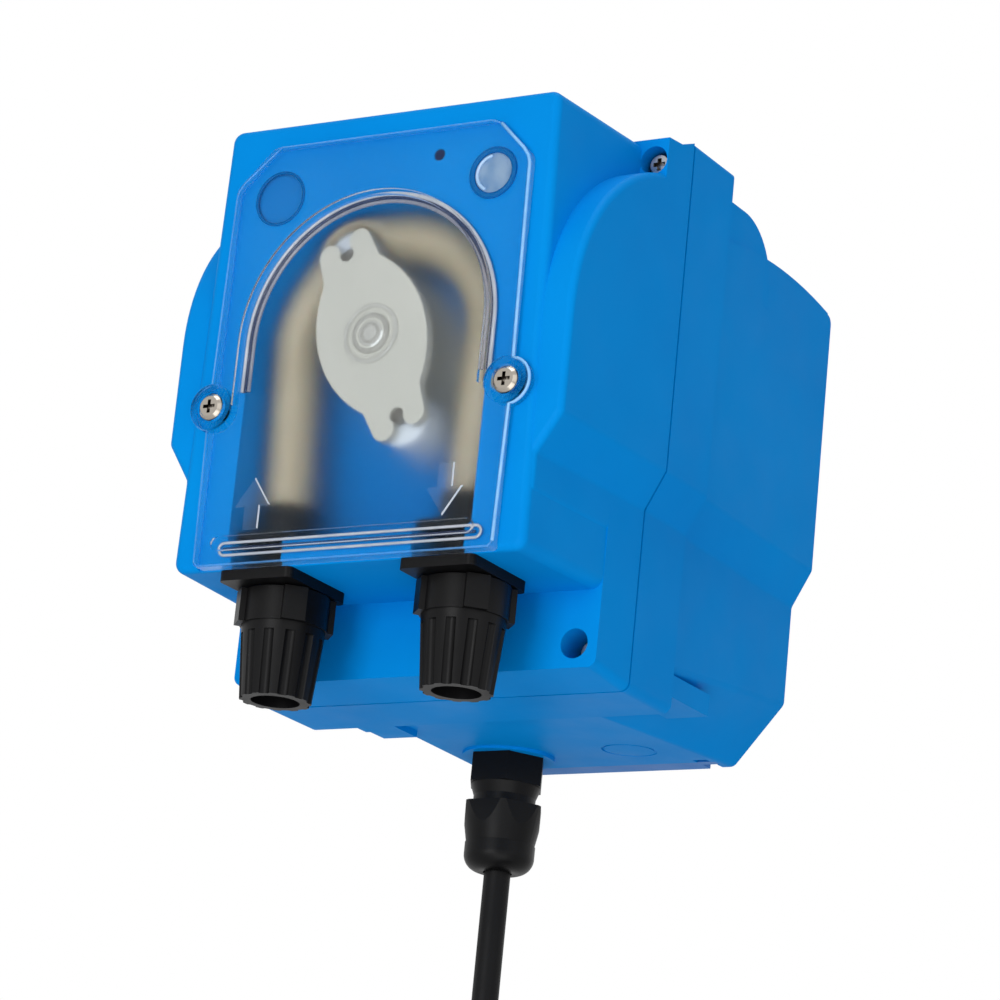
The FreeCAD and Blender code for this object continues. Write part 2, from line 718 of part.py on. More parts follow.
def rear_box(inset):
    """The tapering box of the rear shell, with its twisted lower corners and gently arched top."""
    near = rear_section(0.0, inset, PARTING_DEPTH)
    far = rear_section(1.0, inset, HOUSING_DEPTH - inset)
    solid = between([near, far])
    arch_middle = point(-FAR, REAR_TOP_DEPTH, REAR_TOP - REAR_TOP_ROUND)
    arched = Part.makeCylinder(REAR_TOP_ROUND - inset, 2 * FAR, arch_middle, FreeCAD.Vector(1, 0, 0))
    back_top = REAR_TOP - REAR_TOP_ROUND + math.sqrt(
        REAR_TOP_ROUND ** 2 - (HOUSING_DEPTH - REAR_TOP_DEPTH) ** 2
    )
    middle = HOUSING_DEPTH - REAR_EDGE_RADIUS
    turn = back_top - REAR_EDGE_RADIUS
    if inset >= REAR_EDGE_RADIUS:
        return solid.common(arched)
    bend = Part.makeCylinder(
        REAR_EDGE_RADIUS - inset, 2 * FAR, point(-FAR, middle, turn), FreeCAD.Vector(1, 0, 0)
    )
    before = block(-FAR, FAR, 0.0, middle, -FAR, FAR)
    below = block(-FAR, FAR, middle - PAST, HOUSING_DEPTH, -FAR, turn)
    return solid.common(arched).common(before.multiFuse([below, bend]))


def band(inset):
    """The flange band that both shells meet in."""
    start = PARTING_DEPTH
    low = HEAD_BOTTOM_HALF + SIDE_GROWTH
    wide = WIDE_HALF + WIDE_GROWTH
    outline = stepped(start, low, wide, -PARTING_DROP, RIM_TOP, CORNER_RADIUS, inset)
    return prism(outline, BAND_DEPTH - inset)


def upper_boss():
    """The hump behind the band that carries an upper screw; its end is rounded from the side."""
    end = BAND_BACK + UPPER_BOSS_LENGTH
    middle = end - UPPER_BOSS_ROUND
    inner = UPPER_BOSS_INNER
    outer = UPPER_BOSS_OUTER
    turn = UPPER_BOSS_TOP - UPPER_BOSS_ROUND
    solid = block(inner, outer, PARTING_DEPTH, middle, UPPER_BOSS_BOTTOM, UPPER_BOSS_TOP)
    solid = solid.fuse(block(inner, outer, PARTING_DEPTH, end, UPPER_BOSS_BOTTOM, turn))
    bend = Part.makeCylinder(
        UPPER_BOSS_ROUND, outer - inner, point(inner, middle, turn), FreeCAD.Vector(1, 0, 0)
    )
    level = block(inner, outer, PARTING_DEPTH, 2 * end, UPPER_BOSS_BOTTOM, 2 * UPPER_BOSS_TOP)
    return solid.fuse(bend.common(level)).removeSplitter()


def lower_boss():
    """The lug behind the band that carries a lower screw."""
    return block(
        LOWER_BOSS_INNER,
        LOWER_BOSS_OUTER,
        PARTING_DEPTH,
        BAND_BACK + LOWER_BOSS_LENGTH,
        LOWER_BOSS_BOTTOM,
        LOWER_BOSS_TOP,
    )


def foot():
    """The short foot under the left side, behind the band."""
    return block(
        -FOOT_OUTER,
        -FOOT_INNER,
        PARTING_DEPTH,
        BAND_BACK + FOOT_LENGTH,
        -PARTING_DROP,
        -PARTING_DROP + 2 * WALL,
    )


def slot_void():
    """The T-shaped slot in the rear wall that slides down over the wall bracket."""
    top = BRACKET_TOP + SLIDE_CLEARANCE
    flange = BRACKET_FLANGE_HALF + SLIDE_CLEARANCE
    stem = BRACKET_STEM_HALF + SLIDE_CLEARANCE
    wide = block(-flange, flange, SLOT_FRONT, SLOT_BACK, -2 * PARTING_DROP, top)
    narrow = block(-stem, stem, SLOT_FRONT, HOUSING_DEPTH + PAST, -2 * PARTING_DROP, top)
    return wide.fuse(narrow)


def rear_shell():
    """The blue rear half, a moulded box with the slot for the bracket and posts for the boards."""
    outer = band(0.0).multiFuse([rear_box(0.0), both_sides(upper_boss()), both_sides(lower_boss()), foot()])
    shell = outer.cut([rear_box(WALL), band(WALL)])
    slot_half = BRACKET_FLANGE_HALF + SLIDE_CLEARANCE + WALL
    slot_top = BRACKET_TOP + SLIDE_CLEARANCE + WALL
    additions = [
        block(-slot_half, slot_half, INNER_BACK, HOUSING_DEPTH, -PARTING_DROP, slot_top).common(
            rear_box(0.0)
        ),
        post(GLAND_SEAT_RADIUS, GLAND_X, GLAND_DEPTH, -GLAND_SEAT_DROP, -GLAND_SEAT_DROP + GLAND_SEAT_WALL),
    ]
    for x, z, mouth, seat in screw_places():
        column = rod(SCREW_COLUMN_RADIUS, x, z, PARTING_DEPTH, seat + HOUSING_SCREW_LENGTH + WALL)
        additions.append(both_sides(column).common(outer))
    for x, z in board_corners():
        additions.append(rod(BOARD_POST_RADIUS, x, z, BOARD_BACK, HOUSING_DEPTH - WALL / 2))
    shell = shell.multiFuse(additions)
    cuts = [
        slot_void(),
        block(-FAR, FAR, PARTING_DEPTH - PAST, PARTING_DEPTH + GASKET_THICKNESS / 2, -FAR, FAR),
    ]
    for x, z, mouth, seat in screw_places():
        depth = seat + HOUSING_SCREW_LENGTH + GAP
        cuts.append(both_sides(rod(HOUSING_SCREW_RADIUS + FIT, x, z, PARTING_DEPTH - 1.0, depth)))
    for x, z in board_corners():
        cuts.append(rod(BOARD_SCREW_RADIUS + FIT, x, z, BOARD_BACK - 1.0, BOARD_BACK + BOARD_SCREW_LENGTH))
    seat = -GLAND_SEAT_DROP
    cuts.append(
        post(GLAND_THREAD_RADIUS + FIT, GLAND_X, GLAND_DEPTH, seat - 1.0, seat + GLAND_SEAT_WALL + 1.0)
    )
    ring = post(KNOCKOUT_RADIUS, -GLAND_X, GLAND_DEPTH, seat - 2.0, seat + 2 * KNOCKOUT_GROOVE)
    cuts.append(
        ring.cut(post(KNOCKOUT_RADIUS - KNOCKOUT_GROOVE, -GLAND_X, GLAND_DEPTH, seat - 2.0, seat + 2.0))
    )
    for side in (-1, 1):
        notch = side * RIM_NOTCH_X
        left = notch - RIM_NOTCH_HALF
        right = notch + RIM_NOTCH_HALF
        top = -REAR_DROP + RIM_NOTCH_HEIGHT
        cuts.append(block(left, right, INNER_BACK, HOUSING_DEPTH + PAST, -PARTING_DROP, top))
    return shell.cut(cuts)


def housing_gasket():
    """The dark ring pressed between the two shells."""
    low = HEAD_BOTTOM_HALF + SIDE_GROWTH
    wide = WIDE_HALF + WIDE_GROWTH
    start = PARTING_DEPTH - GASKET_THICKNESS / 2
    outside = stepped(start, low, wide, -PARTING_DROP, RIM_TOP, CORNER_RADIUS, GASKET_INSET)
    inside = stepped(start, low, wide, -PARTING_DROP, RIM_TOP, CORNER_RADIUS, GASKET_INSET + GASKET_WIDTH)
    return prism(outside, GASKET_THICKNESS).cut(prism(inside, GASKET_THICKNESS))


def pan_screw(x, z, seat, head_radius, head, radius, length):
    """A cross-slotted screw driven along the depth; seat is the depth under its head."""
    profile = [
        point(x, seat - head, z),
        point(x + 0.75 * head_radius, seat - head, z),
        point(x + head_radius, seat - 0.6 * head, z),
        point(x + head_radius, seat, z),
        point(x + radius, seat, z),
        point(x + radius, seat + length, z),
        point(x, seat + length, z),
    ]
    outline = Part.Face(Part.makePolygon(profile + profile[:1]))
    screw = outline.revolve(point(x, 0.0, z), FreeCAD.Vector(0, 1, 0), 360)
    arm = head_radius / 2
    half = 0.22 * head
    start = seat - head - 1.0
    end = seat - head / 2
    level = block(x - arm, x + arm, start, end, z - half, z + half)
    upright = block(x - half, x + half, start, end, z - arm, z + arm)
    return screw.cut(level.fuse(upright))


def chamfered_rod(radius, x, z, depth0, depth1, size):
    """A round bar along the depth with both rims bevelled."""
    bar = rod(radius, x, z, depth0, depth1)
    return bar.makeChamfer(size, [edge for edge in bar.Edges if edge.BoundBox.YLength < 0.01])


def housing_screws():
    """The four screws that hold the shells together."""
    screws = []
    for x, z, mouth, seat in screw_places():
        for side in (-1, 1):
            screws.append(
                pan_screw(
                    side * x,
                    z,
                    seat,
                    HOUSING_SCREW_HEAD_RADIUS,
                    HOUSING_SCREW_HEAD,
                    HOUSING_SCREW_RADIUS,
                    HOUSING_SCREW_LENGTH,
                )
            )
    return Part.makeCompound(screws)


def cover_bead():
    """The raised bead on the cover: an arch over the rotor with straight legs down to the screws."""
    radius = TRACK_RADIUS + BEAD_OUTSET
    face = -COVER_PROUD - BEAD_HEIGHT
    root = -COVER_PROUD + SKIN
    outer_arch = rod(radius, 0.0, ROTOR_HEIGHT, face, root)
    inner_arch = rod(radius - BEAD_WIDTH, 0.0, ROTOR_HEIGHT, face - PAST, root + PAST)
    above = block(-2 * radius, 2 * radius, face, root, ROTOR_HEIGHT, ROTOR_HEIGHT + 2 * radius)
    ring = outer_arch.cut(inner_arch).common(above)
    leg = block(radius - BEAD_WIDTH, radius, face, root, COVER_SCREW_Z, ROTOR_HEIGHT)
    return ring.fuse(both_sides(leg))


def head_cover():
    """The clear cover over the pump head, with its bead, bar and two screw lobes that it rests on."""
    plate = cover_blank(0.0, -COVER_PROUD, COVER_SEAT - COVER_RELIEF)
    face = -COVER_PROUD - BEAD_HEIGHT
    root = -COVER_PROUD + SKIN
    bar = block(-BAR_HALF, BAR_HALF, face, root, BAR_Z - BAR_HEIGHT / 2, BAR_Z + BAR_HEIGHT / 2)
    uprights = [edge for edge in bar.Edges if edge.BoundBox.YLength > BEAD_HEIGHT]
    bar = bar.makeFillet(0.49 * BAR_HEIGHT, uprights)
    lobe = rod(COVER_LOBE_RADIUS, COVER_SCREW_X, COVER_SCREW_Z, face, COVER_SEAT)
    cover = plate.multiFuse([bar, cover_bead(), both_sides(lobe)])
    hole = rod(COVER_SCREW_RADIUS + GAP, COVER_SCREW_X, COVER_SCREW_Z, face - PAST, COVER_SEAT + PAST)
    seat = rod(
        COVER_SCREW_HEAD_RADIUS + GAP,
        COVER_SCREW_X,
        COVER_SCREW_Z,
        face - PAST,
        -COVER_PROUD - COVER_SCREW_SINK,
    )
    return cover.cut([both_sides(hole), both_sides(seat)])


def cover_screws():
    """The two screws that hold the cover, with their heads proud of it."""
    screws = []
    for side in (-1, 1):
        screws.append(
            pan_screw(
                side * COVER_SCREW_X,
                COVER_SCREW_Z,
                -COVER_PROUD - COVER_SCREW_SINK,
                COVER_SCREW_HEAD_RADIUS,
                COVER_SCREW_HEAD,
                COVER_SCREW_RADIUS,
                COVER_SCREW_LENGTH,
            )
        )
    return Part.makeCompound(screws)


def indicator_lens():
    """The round light window, with a flange in its seat and a domed face."""
    body = rod(LENS_RADIUS, LENS_X, LENS_Z, COVER_SEAT + LENS_FLANGE / 2, COVER_SEAT + LENS_LENGTH)
    flange = rod(LENS_RADIUS + LENS_FLANGE, LENS_X, LENS_Z, COVER_SEAT + FIT, COVER_SEAT + LENS_FLANGE)
    hollow = rod(
        LENS_RADIUS - LENS_FLANGE, LENS_X, LENS_Z, COVER_SEAT + 2 * LENS_FLANGE, COVER_SEAT + LENS_LENGTH
    )
    return body.fuse(flange).cut(hollow)


def status_led():
    """The small lamp beside the window, standing on its board."""
    body = rod(LED_RADIUS, LED_X, LED_Z, COVER_SEAT + 2 * FIT, COVER_SEAT + LENS_LENGTH)
    collar = rod(LED_RADIUS + GAP, LED_X, LED_Z, WALL + 2 * GAP, COVER_SEAT + LENS_LENGTH)
    return body.fuse(collar)


def indicator_board():
    """The small board behind the window and the lamp."""
    front = COVER_SEAT + LENS_LENGTH
    return block(
        INDICATOR_BOARD_LEFT,
        INDICATOR_BOARD_RIGHT,
        front,
        front + BOARD_THICKNESS,
        INDICATOR_BOARD_BOTTOM,
        INDICATOR_BOARD_TOP,
    )


def on_rotor(along, across, depth):
    """A point of the rotor: along its long line and across it, turned by its tilt."""
    tilt = math.radians(ROTOR_TILT)
    x = -along * math.sin(tilt) + across * math.cos(tilt)
    z = along * math.cos(tilt) + across * math.sin(tilt)
    return point(x, depth, ROTOR_HEIGHT + z)


def rotor_rod(radius, along, across, depth0, depth1):
    """A round bar along the depth, placed on the rotor."""
    return Part.makeCylinder(
        radius, depth1 - depth0, on_rotor(along, across, depth0), FreeCAD.Vector(0, 1, 0)
    )


def rotor_outline(depth0, depth1):
    """A rotor plate: a lens shape whose ends open into a pair of round prongs around each pin."""
    half = ROTOR_LENS_HALF
    width = ROTOR_HALF_WIDTH
    radius = (half * half + width * width) / (2 * width)
    left = rotor_rod(radius, 0.0, radius - width, depth0, depth1)
    right = rotor_rod(radius, 0.0, width - radius, depth0, depth1)
    plate = left.common(right)
    for end in (-1, 1):
        for side in (-1, 1):
            prong = rotor_rod(PRONG_RADIUS, end * PRONG_ALONG, side * PRONG_ACROSS, depth0, depth1)
            root = [
                on_rotor(end * PIN_CIRCLE * 0.55, side * (PRONG_ACROSS + PRONG_RADIUS) * 1.2, depth0),
                on_rotor(end * PRONG_ALONG, side * (PRONG_ACROSS + PRONG_RADIUS), depth0),
                on_rotor(end * PRONG_ALONG, 0.0, depth0),
                on_rotor(end * PIN_CIRCLE * 0.55, 0.0, depth0),
            ]
            web = Part.Face(Part.makePolygon(root + root[:1])).extrude(
                FreeCAD.Vector(0, depth1 - depth0, 0)
            )
            plate = plate.multiFuse([prong, web])
    cuts = []
    for end in (-1, 1):
        cuts.append(rotor_rod(PLATE_HOLE_RADIUS, end * PIN_CIRCLE, 0.0, depth0 - 1.0, depth1 + 1.0))
        mouth = [
            on_rotor(end * PIN_CIRCLE, -PRONG_GAP, depth0 - 1.0),
            on_rotor(end * PIN_CIRCLE, PRONG_GAP, depth0 - 1.0),
            on_rotor(end * (PIN_CIRCLE + 9.0), 3 * PRONG_GAP, depth0 - 1.0),
            on_rotor(end * (PIN_CIRCLE + 9.0), -3 * PRONG_GAP, depth0 - 1.0),
        ]
        cuts.append(
            Part.Face(Part.makePolygon(mouth + mouth[:1])).extrude(
                FreeCAD.Vector(0, depth1 - depth0 + 2.0, 0)
            ),
        )
    return plate.cut(cuts)


def rotor_front_plate():
    """The pale front plate of the rotor, with a ring around its middle screw."""
    plate = rotor_outline(ROTOR_FRONT, ROTOR_FRONT + ROTOR_PLATE)
    ring = rod(ROTOR_BOSS_RADIUS, 0.0, ROTOR_HEIGHT, ROTOR_FRONT - ROTOR_BOSS_HEIGHT, ROTOR_FRONT + 0.5)
    sink = rod(ROTOR_CLIP_RADIUS + GAP, 0.0, ROTOR_HEIGHT, 0.0, ROTOR_FRONT + ROTOR_PLATE / 2)
    hole = rod(ROTOR_SCREW_RADIUS + GAP, 0.0, ROTOR_HEIGHT, 0.0, ROTOR_BACK)
    return plate.fuse(ring).cut([sink, hole])


def rotor_screw():
    """The screw that holds the front plate on the hub."""
    seat = ROTOR_FRONT + ROTOR_PLATE / 2
    return pan_screw(
        0.0,
        ROTOR_HEIGHT,
        seat,
        ROTOR_CLIP_RADIUS,
        ROTOR_PLATE / 2,
        ROTOR_SCREW_RADIUS,
        ROTOR_SCREW_LENGTH,
    )


def output_shaft_section(grow, depth0, depth1):
    """The output shaft's flatted section, grown by a clearance."""
    bar = rod(SHAFT_RADIUS + grow, 0.0, ROTOR_HEIGHT, depth0, depth1)
    flat = block(
        -10.0, 10.0, depth0, depth1, ROTOR_HEIGHT + SHAFT_RADIUS - SHAFT_FLAT + grow, ROTOR_HEIGHT + 10.0
    )
    return bar.cut(flat)


def rotor_carrier():
    """The rotor's back plate and hub in one piece, bored for the shaft."""
    plate = rotor_outline(ROTOR_BACK, ROTOR_BACK + ROTOR_BACK_PLATE)
    hub = rod(
        ROTOR_HUB_RADIUS, 0.0, ROTOR_HEIGHT, ROTOR_FRONT + ROTOR_PLATE, ROTOR_BACK + ROTOR_BACK_PLATE / 2
    )
    bore = output_shaft_section(FIT, ROTOR_SHAFT_START, ROTOR_BACK + ROTOR_BACK_PLATE + 1.0)
    screw = rod(ROTOR_SCREW_RADIUS + FIT, 0.0, ROTOR_HEIGHT, ROTOR_FRONT, ROTOR_SHAFT_START)
    return plate.fuse(hub).cut([bore, screw])


def roller_pins():
    """The two steel pins that the rollers turn on."""
    pins = []
    for end in (-1, 1):
        start = ROTOR_FRONT + ROTOR_PLATE / 2
        pins.append(rotor_rod(PIN_RADIUS, end * PIN_CIRCLE, 0.0, start, ROTOR_BACK + ROTOR_BACK_PLATE))
    return Part.makeCompound(pins)


def roller(end):
    """A roller, bored for its pin, with slightly rounded rims."""
    start = ROTOR_FRONT + ROTOR_PLATE + GAP
    body = rotor_rod(ROLLER_RADIUS, end * PIN_CIRCLE, 0.0, start, start + ROLLER_LENGTH)
    body = body.makeChamfer(ROLLER_EDGE, [edge for edge in body.Edges if edge.BoundBox.YLength < 0.01])
    bore = rotor_rod(
        PIN_RADIUS + BEARING_CLEARANCE, end * PIN_CIRCLE, 0.0, start - PAST, start + ROLLER_LENGTH + PAST
    )
    return body.cut(bore)


def output_shaft():
    """The steel shaft from the rotor to the gearbox's last wheel."""
    flatted = output_shaft_section(0.0, ROTOR_SHAFT_START, CAVITY_DEPTH)
    bar = rod(SHAFT_RADIUS, 0.0, ROTOR_HEIGHT, CAVITY_DEPTH, GEAR_SPACE + WHEEL_START)
    wheel_part = output_shaft_section(0.0, GEAR_SPACE + WHEEL_START, GEAR_SPACE + WHEEL_START + GEAR_WIDTH)
    tail = rod(
        SHAFT_RADIUS, 0.0, ROTOR_HEIGHT, GEAR_SPACE + WHEEL_START + GEAR_WIDTH, GEARBOX_REAR + GEARBOX_PLATE
    )
    return flatted.multiFuse([bar, wheel_part, tail])


def gear(x, z, teeth, phase, start, width, bore):
    """A spur gear along the depth, with straight-flanked teeth."""
    pitch_radius = MODULE * teeth / 2
    tip = pitch_radius + TOOTH_ADDENDUM * MODULE
    root = pitch_radius - TOOTH_DEDENDUM * MODULE
    step = 2 * math.pi / teeth
    corners = []
    for tooth in range(teeth):
        middle = math.radians(phase) + tooth * step
        for offset, radius in (
            (-TOOTH_ROOT_SHARE, root),
            (-TOOTH_TIP_SHARE, tip),
            (TOOTH_TIP_SHARE, tip),
            (TOOTH_ROOT_SHARE, root),
        ):
            angle = middle + offset * step
            corners.append(point(x + radius * math.cos(angle), start, z + radius * math.sin(angle)))
    blank = Part.Face(Part.makePolygon(corners + corners[:1])).extrude(FreeCAD.Vector(0, width, 0))
    return blank.cut(bore)


def output_wheel():
    """The large gear on the output shaft."""
    start = GEAR_SPACE + WHEEL_START
    bore = output_shaft_section(FIT, start - 1.0, start + GEAR_WIDTH + 1.0)
    return gear(0.0, ROTOR_HEIGHT, WHEEL_TEETH, 0.0, start, GEAR_WIDTH, bore)


def idler_gear():
    """The double gear in between: a pinion that drives the output wheel, and the wheel behind it."""
    start = GEAR_SPACE + WHEEL_START
    bore = rod(ARBOR_RADIUS + BEARING_CLEARANCE, IDLER_X, IDLER_Z, GEAR_SPACE, GEARBOX_REAR)
    pinion = gear(IDLER_X, IDLER_Z, PINION_TEETH, 15.0, start, GEAR_WIDTH + GEAR_MARGIN, bore)
    wheel = gear(IDLER_X, IDLER_Z, WHEEL_TEETH, 0.0, start + GEAR_WIDTH + GEAR_MARGIN, GEAR_WIDTH, bore)
    return pinion.fuse(wheel)


def idler_arbor():
    """The fixed pin that the double gear turns on."""
    return rod(ARBOR_RADIUS, IDLER_X, IDLER_Z, GEARBOX_FRONT, GEARBOX_REAR + GEARBOX_PLATE)


def motor_pinion():
    """The small gear on the motor's shaft."""
    start = GEAR_SPACE + WHEEL_START + GEAR_WIDTH + GEAR_MARGIN
    bore = rod(MOTOR_SHAFT_RADIUS, 0.0, MOTOR_Z, GEAR_SPACE, GEARBOX_REAR)
    return gear(0.0, MOTOR_Z, PINION_TEETH, 15.0, start, GEAR_WIDTH, bore)


def motor_shaft():
    """The motor's thin shaft."""
    start = GEAR_SPACE + WHEEL_START + GEAR_WIDTH + GEAR_MARGIN
    return rod(MOTOR_SHAFT_RADIUS, 0.0, MOTOR_Z, start, MOTOR_FACE + MOTOR_SHAFT_DEPTH)


def gearbox_corners():
    """Where the gearbox's four pillars stand."""
    return [
        (side * PILLAR_X, z)
        for side in (-1, 1)
        for z in (GEARBOX_BOTTOM + PILLAR_INSET, GEARBOX_TOP - PILLAR_INSET)
    ]


def gearbox_plate(depth):
    """A plate of the gearbox with rounded corners and its pillar holes."""
    plate = block(
        -GEARBOX_HALF_WIDTH, GEARBOX_HALF_WIDTH, depth, depth + GEARBOX_PLATE, GEARBOX_BOTTOM, GEARBOX_TOP
    )
    plate = plate.makeFillet(
        PILLAR_INSET - 1.0, [edge for edge in plate.Edges if edge.BoundBox.YLength > 1.0]
    )
    cuts = [rod(PILLAR_SCREW_RADIUS + FIT, x, z, depth - 1.0, depth + 10.0) for x, z in gearbox_corners()]
    cuts.append(rod(ARBOR_RADIUS, IDLER_X, IDLER_Z, depth - 1.0, depth + 10.0))
    cuts.append(rod(BUSH_RADIUS, 0.0, ROTOR_HEIGHT, depth - 1.0, depth + 10.0))
    return plate.cut(cuts)


def motor_screw_places():
    """Where the motor's two screws are."""
    return [(0.0, MOTOR_Z + side * MOTOR_SCREW_CIRCLE) for side in (-1, 1)]


def gearbox_rear_plate():
    """The rear plate, which also carries the motor."""
    cuts = [rod(MOTOR_BOSS_RADIUS + FIT, 0.0, MOTOR_Z, GEARBOX_REAR - 1.0, MOTOR_FACE + 1.0)]
    for x, z in motor_screw_places():
        cuts.append(rod(PILLAR_SCREW_RADIUS + FIT, x, z, GEARBOX_REAR - 1.0, MOTOR_FACE + 1.0))
    return gearbox_plate(GEARBOX_REAR).cut(cuts)


def gearbox_pillars():
    """The four tubes that hold the plates apart."""
    pillars = []
    for x, z in gearbox_corners():
        tube = rod(PILLAR_RADIUS, x, z, GEAR_SPACE, GEARBOX_REAR)
        pillars.append(tube.cut(rod(PILLAR_SCREW_RADIUS + FIT, x, z, GEAR_SPACE, GEARBOX_REAR)))
    return Part.makeCompound(pillars)


def gearbox_screws():
    """The four long screws through the pillars into the front shell's posts."""
    screws = []
    for x, z in gearbox_corners():
        shank = rod(PILLAR_SCREW_RADIUS, x, z, WELL_BACK + 0.2, MOTOR_FACE)
        head = rod(PILLAR_SCREW_HEAD_RADIUS, x, z, MOTOR_FACE, MOTOR_FACE + PILLAR_SCREW_HEAD)
        slot = block(
            x - 5.0, x + 5.0, MOTOR_FACE + PILLAR_SCREW_HEAD / 2, MOTOR_FACE + 9.0, z - 0.4, z + 0.4
        )
        screws.append(shank.fuse(head).cut(slot))
    return Part.makeCompound(screws)


def output_bushes():
    """The two flanged bushes that carry the output shaft."""
    bushes = []
    for depth, flange in ((GEARBOX_FRONT, GEAR_SPACE), (GEARBOX_REAR, GEARBOX_REAR - BUSH_FLANGE)):
        bush = rod(BUSH_RADIUS, 0.0, ROTOR_HEIGHT, depth, depth + GEARBOX_PLATE)
        bush = bush.fuse(rod(BUSH_FLANGE_RADIUS, 0.0, ROTOR_HEIGHT, flange, flange + BUSH_FLANGE))
        bore = rod(SHAFT_RADIUS + BEARING_CLEARANCE, 0.0, ROTOR_HEIGHT, depth - 5.0, depth + 9.0)
        bushes.append(bush.cut(bore))
    return Part.makeCompound(bushes)


def shaft_seal():
    """The rubber ring in the head's floor that the shaft passes through."""
    ring = rod(SEAL_RADIUS, 0.0, ROTOR_HEIGHT, CAVITY_DEPTH, WELL_BACK)
    return ring.cut(rod(SHAFT_RADIUS + BEARING_CLEARANCE, 0.0, ROTOR_HEIGHT, CAVITY_DEPTH, WELL_BACK))


def motor_can():
    """The motor's steel can with its front boss, bored for the shaft and the screws."""
    can = chamfered_rod(MOTOR_RADIUS, 0.0, MOTOR_Z, MOTOR_FACE, MOTOR_FACE + MOTOR_LENGTH, MOTOR_EDGE)
    boss = rod(MOTOR_BOSS_RADIUS, 0.0, MOTOR_Z, MOTOR_FACE - GEARBOX_PLATE, MOTOR_FACE + 1.0)
    can = can.fuse(boss)
    cuts = [
        rod(
            MOTOR_SHAFT_RADIUS + BEARING_CLEARANCE,
            0.0,
            MOTOR_Z,
            MOTOR_FACE - 5.0,
            MOTOR_FACE + MOTOR_SHAFT_DEPTH + GAP,
        ),
    ]
    for x, z in motor_screw_places():
        cuts.append(rod(PILLAR_SCREW_RADIUS, x, z, MOTOR_FACE - 1.0, MOTOR_FACE + MOTOR_SCREW_LENGTH))
    return can.cut(cuts)


def motor_cap():
    """The motor's end cap with its two terminals."""
    start = MOTOR_FACE + MOTOR_LENGTH
    cap = rod(MOTOR_RADIUS - 3.0, 0.0, MOTOR_Z, start, start + MOTOR_CAP_LENGTH)
    for side in (-1, 1):
        tab = block(
            side * 9.0 - 1.4,
            side * 9.0 + 1.4,
            start + 1.0,
            start + 2 * MOTOR_CAP_LENGTH,
            MOTOR_Z - 0.4,
            MOTOR_Z + 0.4,
        )
        cap = cap.fuse(tab)
    return cap


def motor_screws():
    """The two screws that hold the motor on the rear plate."""
    screws = []
    for x, z in motor_screw_places():
        seat = GEARBOX_REAR
        length = GEARBOX_PLATE + MOTOR_SCREW_LENGTH - GAP
        screws.append(pan_screw(x, z, seat, PILLAR_SCREW_HEAD_RADIUS, 1.2, PILLAR_SCREW_RADIUS, length))
    return Part.makeCompound(screws)


def board_corners():
    """Where the control board's four posts stand."""
    return [
        (side * (BOARD_HALF - BOARD_HOLE_INSET), z)
        for side in (-1, 1)
        for z in (BOARD_BOTTOM + BOARD_HOLE_INSET, BOARD_TOP - BOARD_HOLE_INSET)
    ]


def control_board():
    """The control board on its posts."""
    front = BOARD_FRONT
    board = block(-BOARD_HALF, BOARD_HALF, front, BOARD_BACK, BOARD_BOTTOM, BOARD_TOP)
    holes = [rod(BOARD_SCREW_RADIUS + FIT, x, z, front - 1.0, BOARD_BACK + 1.0) for x, z in board_corners()]
    return board.cut(holes)


def board_screws():
    """The four screws of the control board."""
    front = BOARD_FRONT
    screws = []
    for x, z in board_corners():
        length = BOARD_THICKNESS + BOARD_SCREW_LENGTH - GAP
        screws.append(pan_screw(x, z, front, 2 * BOARD_SCREW_RADIUS, 1.4, BOARD_SCREW_RADIUS, length))
    return Part.makeCompound(screws)


def terminal_centres():
    """Across positions of the terminal block's ways."""
    return [GLAND_X + (way - (TERMINAL_WAYS - 1) / 2) * TERMINAL_PITCH for way in range(TERMINAL_WAYS)]


def terminal_block():
    """The screw terminals for the supply, with open wire mouths below."""
    front = BOARD_FRONT
    half = TERMINAL_WAYS * TERMINAL_PITCH / 2
    bottom = BOARD_BOTTOM + TERMINAL_MARGIN
    body = block(
        GLAND_X - half, GLAND_X + half, front - TERMINAL_DEPTH, front, bottom, bottom + TERMINAL_HEIGHT
    )
    cuts = []
    for x in terminal_centres():
        cuts.append(
            block(
                x - TERMINAL_MOUTH,
                x + TERMINAL_MOUTH,
                WIRE_END_DEPTH - TERMINAL_MOUTH,
                WIRE_END_DEPTH + TERMINAL_MOUTH,
                bottom - PAST,
                bottom + TERMINAL_HEIGHT / 2,
            )
        )
        cuts.append(
            rod(
                TERMINAL_SCREW_RADIUS,
                x,
                bottom + TERMINAL_HEIGHT / 2,
                front - TERMINAL_DEPTH - PAST,
                front - TERMINAL_DEPTH + 2.0,
            )
        )
    return body.cut(cuts)


def terminal_screws():
    """The clamping screws of the terminals."""
    front = BOARD_FRONT - TERMINAL_DEPTH
    height = BOARD_BOTTOM + TERMINAL_MARGIN + TERMINAL_HEIGHT / 2
    screws = []
    for x in terminal_centres():
        head = rod(TERMINAL_SCREW_RADIUS, x, height, front + 0.4, front + 2.0)
        screws.append(head.cut(block(x - 2.0, x + 2.0, front, front + 1.0, height - 0.25, height + 0.25)))
    return Part.makeCompound(screws)


def transformer():
    """The supply transformer on the control board."""
    front = BOARD_FRONT
    low = TRANSFORMER_Z - TRANSFORMER_HEIGHT / 2
    high = TRANSFORMER_Z + TRANSFORMER_HEIGHT / 2
    half = TRANSFORMER_WIDTH / 2
    return block(-half, half, front - TRANSFORMER_DEPTH, front, low, high)


